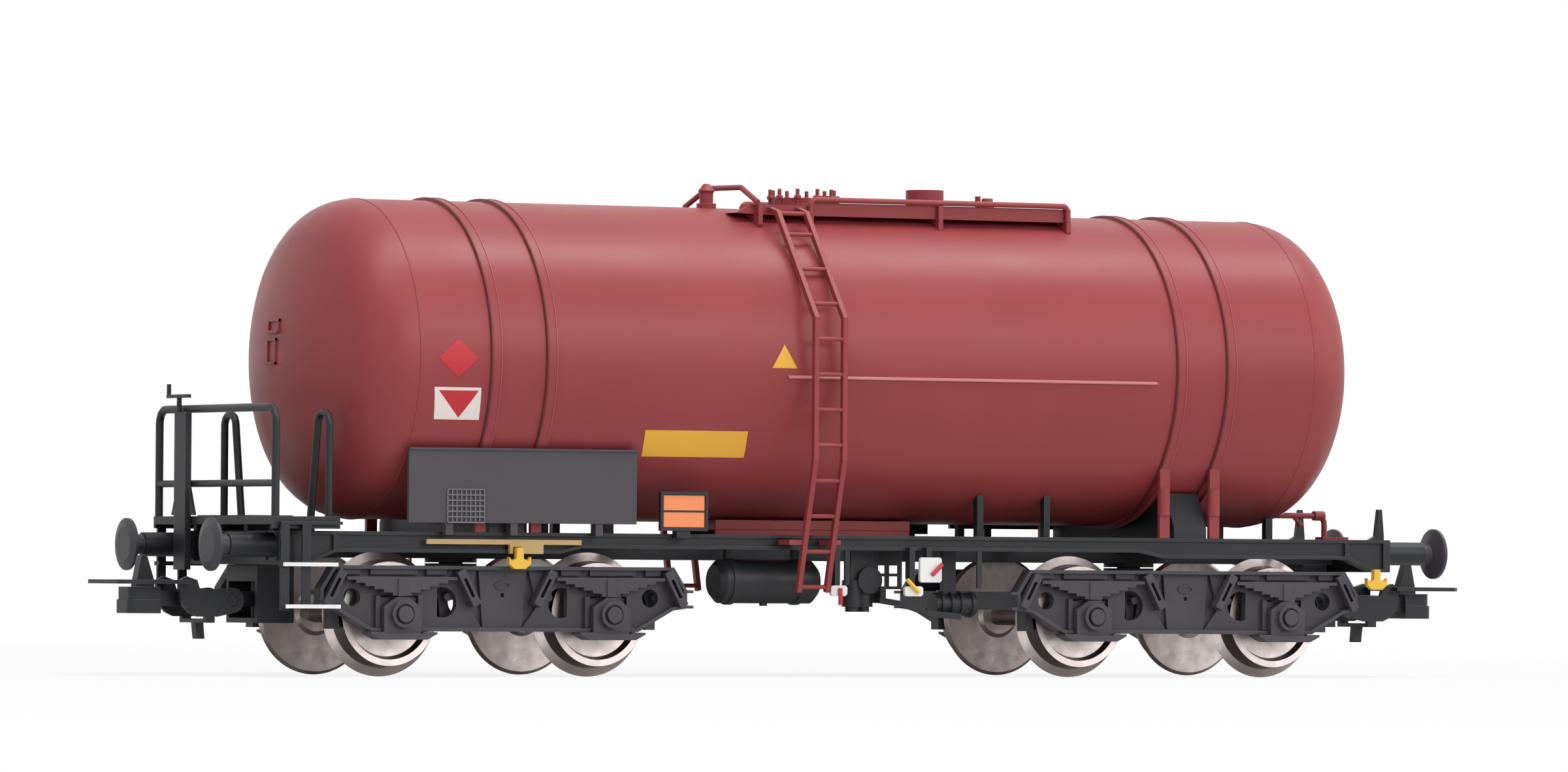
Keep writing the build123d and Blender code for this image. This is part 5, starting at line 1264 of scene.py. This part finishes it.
    def drain_stub(self) -> None:
        """Short slanting stub under the drain pipe."""
        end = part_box("drain_pipe")[1]
        red = self.shop.paint(Paint.TANK_RED)
        work = bmesh.new()
        lean = Matrix.Rotation(radians(self.drain_lean), 4, "Y")
        place = Matrix.Translation((end.x - self.drain_back, self.drain_y, end.z - self.drain_drop)) @ lean
        Forge.turned(work, [(radius * MM, z * MM) for radius, z in self.drain_outline], place, 16)
        Forge.piece("drain_stub", "wagon", "tank_red", Forge.mesh_of("drain_stub", work), red)

    def build(self) -> None:
        """Make the trim."""
        self.orange_plate()
        self.step_edges()
        self.belly_lips()
        self.drain_stub()


@dataclass(frozen=True)
class Lamp:
    """A soft rectangular lamp.

    Args:
        name: Its name.
        place: Where it stands, in metres.
        size: Width and height, in metres.
        power: Its power, in watts.
    """

    name: str
    place: Point
    size: tuple[float, float]
    power: float


LAMPS = (
    Lamp("overhead", (0.05, -0.16, 0.75), (1.1, 0.18), 5.6),
    Lamp("left_fill", (-0.85, -0.55, 0.30), (0.4, 0.5), 0.4),
    Lamp("right_fill", (0.95, -0.45, 0.40), (0.4, 0.6), 1.4),
    Lamp("front_fill", (0.30, -1.20, 0.50), (1.0, 0.5), 5.4),
)


@dataclass
class Studio:
    """Plain pale studio: floor, white surroundings, soft lamps and the camera.

    Args:
        floor_half: Half the floor's width.
        floor_white: How pale the floor is.
        fade: Distances from the middle between which the floor turns plain white.
        glow: How much of the floor is plain white to the camera, near and far.
        world_light: Strength of the even light from all sides.
        azimuth: Camera's turn round the wagon, in degrees.
        elevation: Its angle over the floor, in degrees.
        roll: Its tilt, in degrees.
        distance: From the camera to its target.
        target: Point that it looks at.
        lens: Focal length, in millimetres.
        film_width: Width of its film, in millimetres.
        sight: Nearest and farthest distance that it sees.
    """

    floor_half: float = 3.0
    floor_white: float = 0.7
    fade: tuple[float, float] = (0.1, 0.35)
    glow: tuple[float, float] = (0.85, 1.0)
    world_light: float = 0.34
    azimuth: float = -27.928
    elevation: float = -1.082
    roll: float = 0.408
    distance: float = 968.34 * MM
    target: Point = (-1.529 * MM, 0.0, 29.507 * MM)
    lens: float = 218.4
    film_width: float = 36.0
    sight: tuple[float, float] = (0.01, 20.0)

    def build_floor(self) -> None:
        """Large pale floor that keeps the wagon's soft shadow and fades to plain white away from it."""
        work = bmesh.new()
        half = self.floor_half
        corners = ((-half, -half), (half, -half), (half, half), (-half, half))
        work.faces.new([work.verts.new((x, y, 0.0)) for x, y in corners])
        mesh = bpy.data.meshes.new("floor")
        work.to_mesh(mesh)
        work.free()
        floor = bpy.data.objects.new("floor", mesh)
        bpy.context.scene.collection.objects.link(floor)
        material = bpy.data.materials.new("floor_white")
        material.use_nodes = True
        nodes, wires = material.node_tree.nodes, material.node_tree.links
        nodes.clear()
        matte = nodes.new("ShaderNodeBsdfDiffuse")
        matte.inputs["Color"].default_value = (self.floor_white, self.floor_white, self.floor_white, 1.0)
        glow = nodes.new("ShaderNodeEmission")
        path = nodes.new("ShaderNodeLightPath")
        share = nodes.new("ShaderNodeMath")
        share.operation = "MULTIPLY"
        away = nodes.new("ShaderNodeVectorMath")
        away.operation = "LENGTH"
        fade = nodes.new("ShaderNodeMapRange")
        for socket, amount in zip(("From Min", "From Max", "To Min", "To Max"), (*self.fade, *self.glow)):
            fade.inputs[socket].default_value = amount
        place = nodes.new("ShaderNodeTexCoord")
        wires.new(place.outputs["Object"], away.inputs[0])
        wires.new(away.outputs["Value"], fade.inputs["Value"])
        wires.new(fade.outputs["Result"], share.inputs[1])
        blend = nodes.new("ShaderNodeMixShader")
        output = nodes.new("ShaderNodeOutputMaterial")
        wires.new(path.outputs["Is Camera Ray"], share.inputs[0])
        wires.new(share.outputs["Value"], blend.inputs[0])
        wires.new(matte.outputs["BSDF"], blend.inputs[1])
        wires.new(glow.outputs["Emission"], blend.inputs[2])
        wires.new(blend.outputs["Shader"], output.inputs["Surface"])
        mesh.materials.append(material)

    def build_world(self) -> None:
        """White surroundings for what the camera, gloss and glass see, and even light for the rest."""
        world = bpy.data.worlds.new("studio")
        bpy.context.scene.world = world
        world.use_nodes = True
        nodes, wires = world.node_tree.nodes, world.node_tree.links
        nodes.clear()
        path = nodes.new("ShaderNodeLightPath")
        seen = nodes.new("ShaderNodeMath")
        seen.operation = "MAXIMUM"
        both = nodes.new("ShaderNodeMath")
        both.operation = "MAXIMUM"
        light = nodes.new("ShaderNodeBackground")
        light.inputs["Strength"].default_value = self.world_light
        white = nodes.new("ShaderNodeBackground")
        for background in (light, white):
            background.inputs["Color"].default_value = (1.0, 1.0, 1.0, 1.0)
        white.inputs["Strength"].default_value = 1.0
        blend = nodes.new("ShaderNodeMixShader")
        output = nodes.new("ShaderNodeOutputWorld")
        wires.new(path.outputs["Is Camera Ray"], seen.inputs[0])
        wires.new(path.outputs["Is Transmission Ray"], seen.inputs[1])
        wires.new(seen.outputs["Value"], both.inputs[0])
        wires.new(path.outputs["Is Glossy Ray"], both.inputs[1])
        wires.new(both.outputs["Value"], blend.inputs[0])
        wires.new(light.outputs["Background"], blend.inputs[1])
        wires.new(white.outputs["Background"], blend.inputs[2])
        wires.new(blend.outputs["Shader"], output.inputs["Surface"])

    def build_lamps(self) -> None:
        """Soft rectangular lamps, each turned to the middle of the wagon."""
        aim = Vector(self.target)
        for lamp in LAMPS:
            data = bpy.data.lights.new(lamp.name, "AREA")
            data.shape = "RECTANGLE"
            data.size, data.size_y = lamp.size
            data.energy = lamp.power
            made = bpy.data.objects.new(lamp.name, data)
            made.location = lamp.place
            made.rotation_mode = "QUATERNION"
            made.rotation_quaternion = (aim - Vector(lamp.place)).to_track_quat("-Z", "Y")
            bpy.context.scene.collection.objects.link(made)

    def build_camera(self) -> None:
        """Camera at the photograph's viewing angle."""
        azimuth, elevation, roll = radians(self.azimuth), radians(self.elevation), radians(self.roll)
        forward = Vector((-sin(azimuth) * cos(elevation), cos(azimuth) * cos(elevation), -sin(elevation)))
        right = forward.cross(Vector((0.0, 0.0, 1.0))).normalized()
        up = right.cross(forward)
        across = right * cos(roll) + up * sin(roll)
        above = up * cos(roll) - right * sin(roll)
        data = bpy.data.cameras.new("camera")
        data.sensor_width = self.film_width
        data.lens = self.lens
        data.clip_start, data.clip_end = self.sight
        camera = bpy.data.objects.new("camera", data)
        turn = Matrix((across, above, -forward)).transposed().to_4x4()
        camera.matrix_world = Matrix.Translation(Vector(self.target) - forward * self.distance) @ turn
        bpy.context.scene.collection.objects.link(camera)
        bpy.context.scene.camera = camera

    def build(self) -> None:
        """Set the whole studio."""
        self.build_floor()
        self.build_world()
        self.build_lamps()
        self.build_camera()
        bpy.context.scene.view_settings.view_transform = "Standard"


@dataclass
class Livery:
    """Gives every construction piece its finish.

    Args:
        shop: Where the finishes come from.
        axle_z: Height of the axles.
    """

    shop: PaintShop
    axle_z: float = 6.2 * MM

    def dress_all(self) -> None:
        """Dress each construction piece by the material slot that the record names for it."""
        for row in frame["record"]["subparts"]:
            node, slot = row["node"], row["material_slot"]
            if node.startswith("wheelset"):
                low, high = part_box(node)
                axle = ((low.x + high.x) / 2, self.axle_z)
                material = TurnedSteelFinish(WHEEL_STEEL, axle).material(f"steel_{node}")
            else:
                material = self.shop.paint(Paint.LEVER_PAIR if node == "changeover_levers" else Paint(slot))
            self.shop.dress(node, material)


def main() -> None:
    """Dress the wagon, add its small pieces and set the studio."""
    logging.basicConfig(level=logging.INFO, format="%(name)s %(message)s")
    shop = PaintShop()
    Livery(shop).dress_all()
    TankDressing(shop).build()
    Fastenings(shop).build()
    Trim(shop).build()
    Studio().build()


if __name__ == "__main__":
    main()
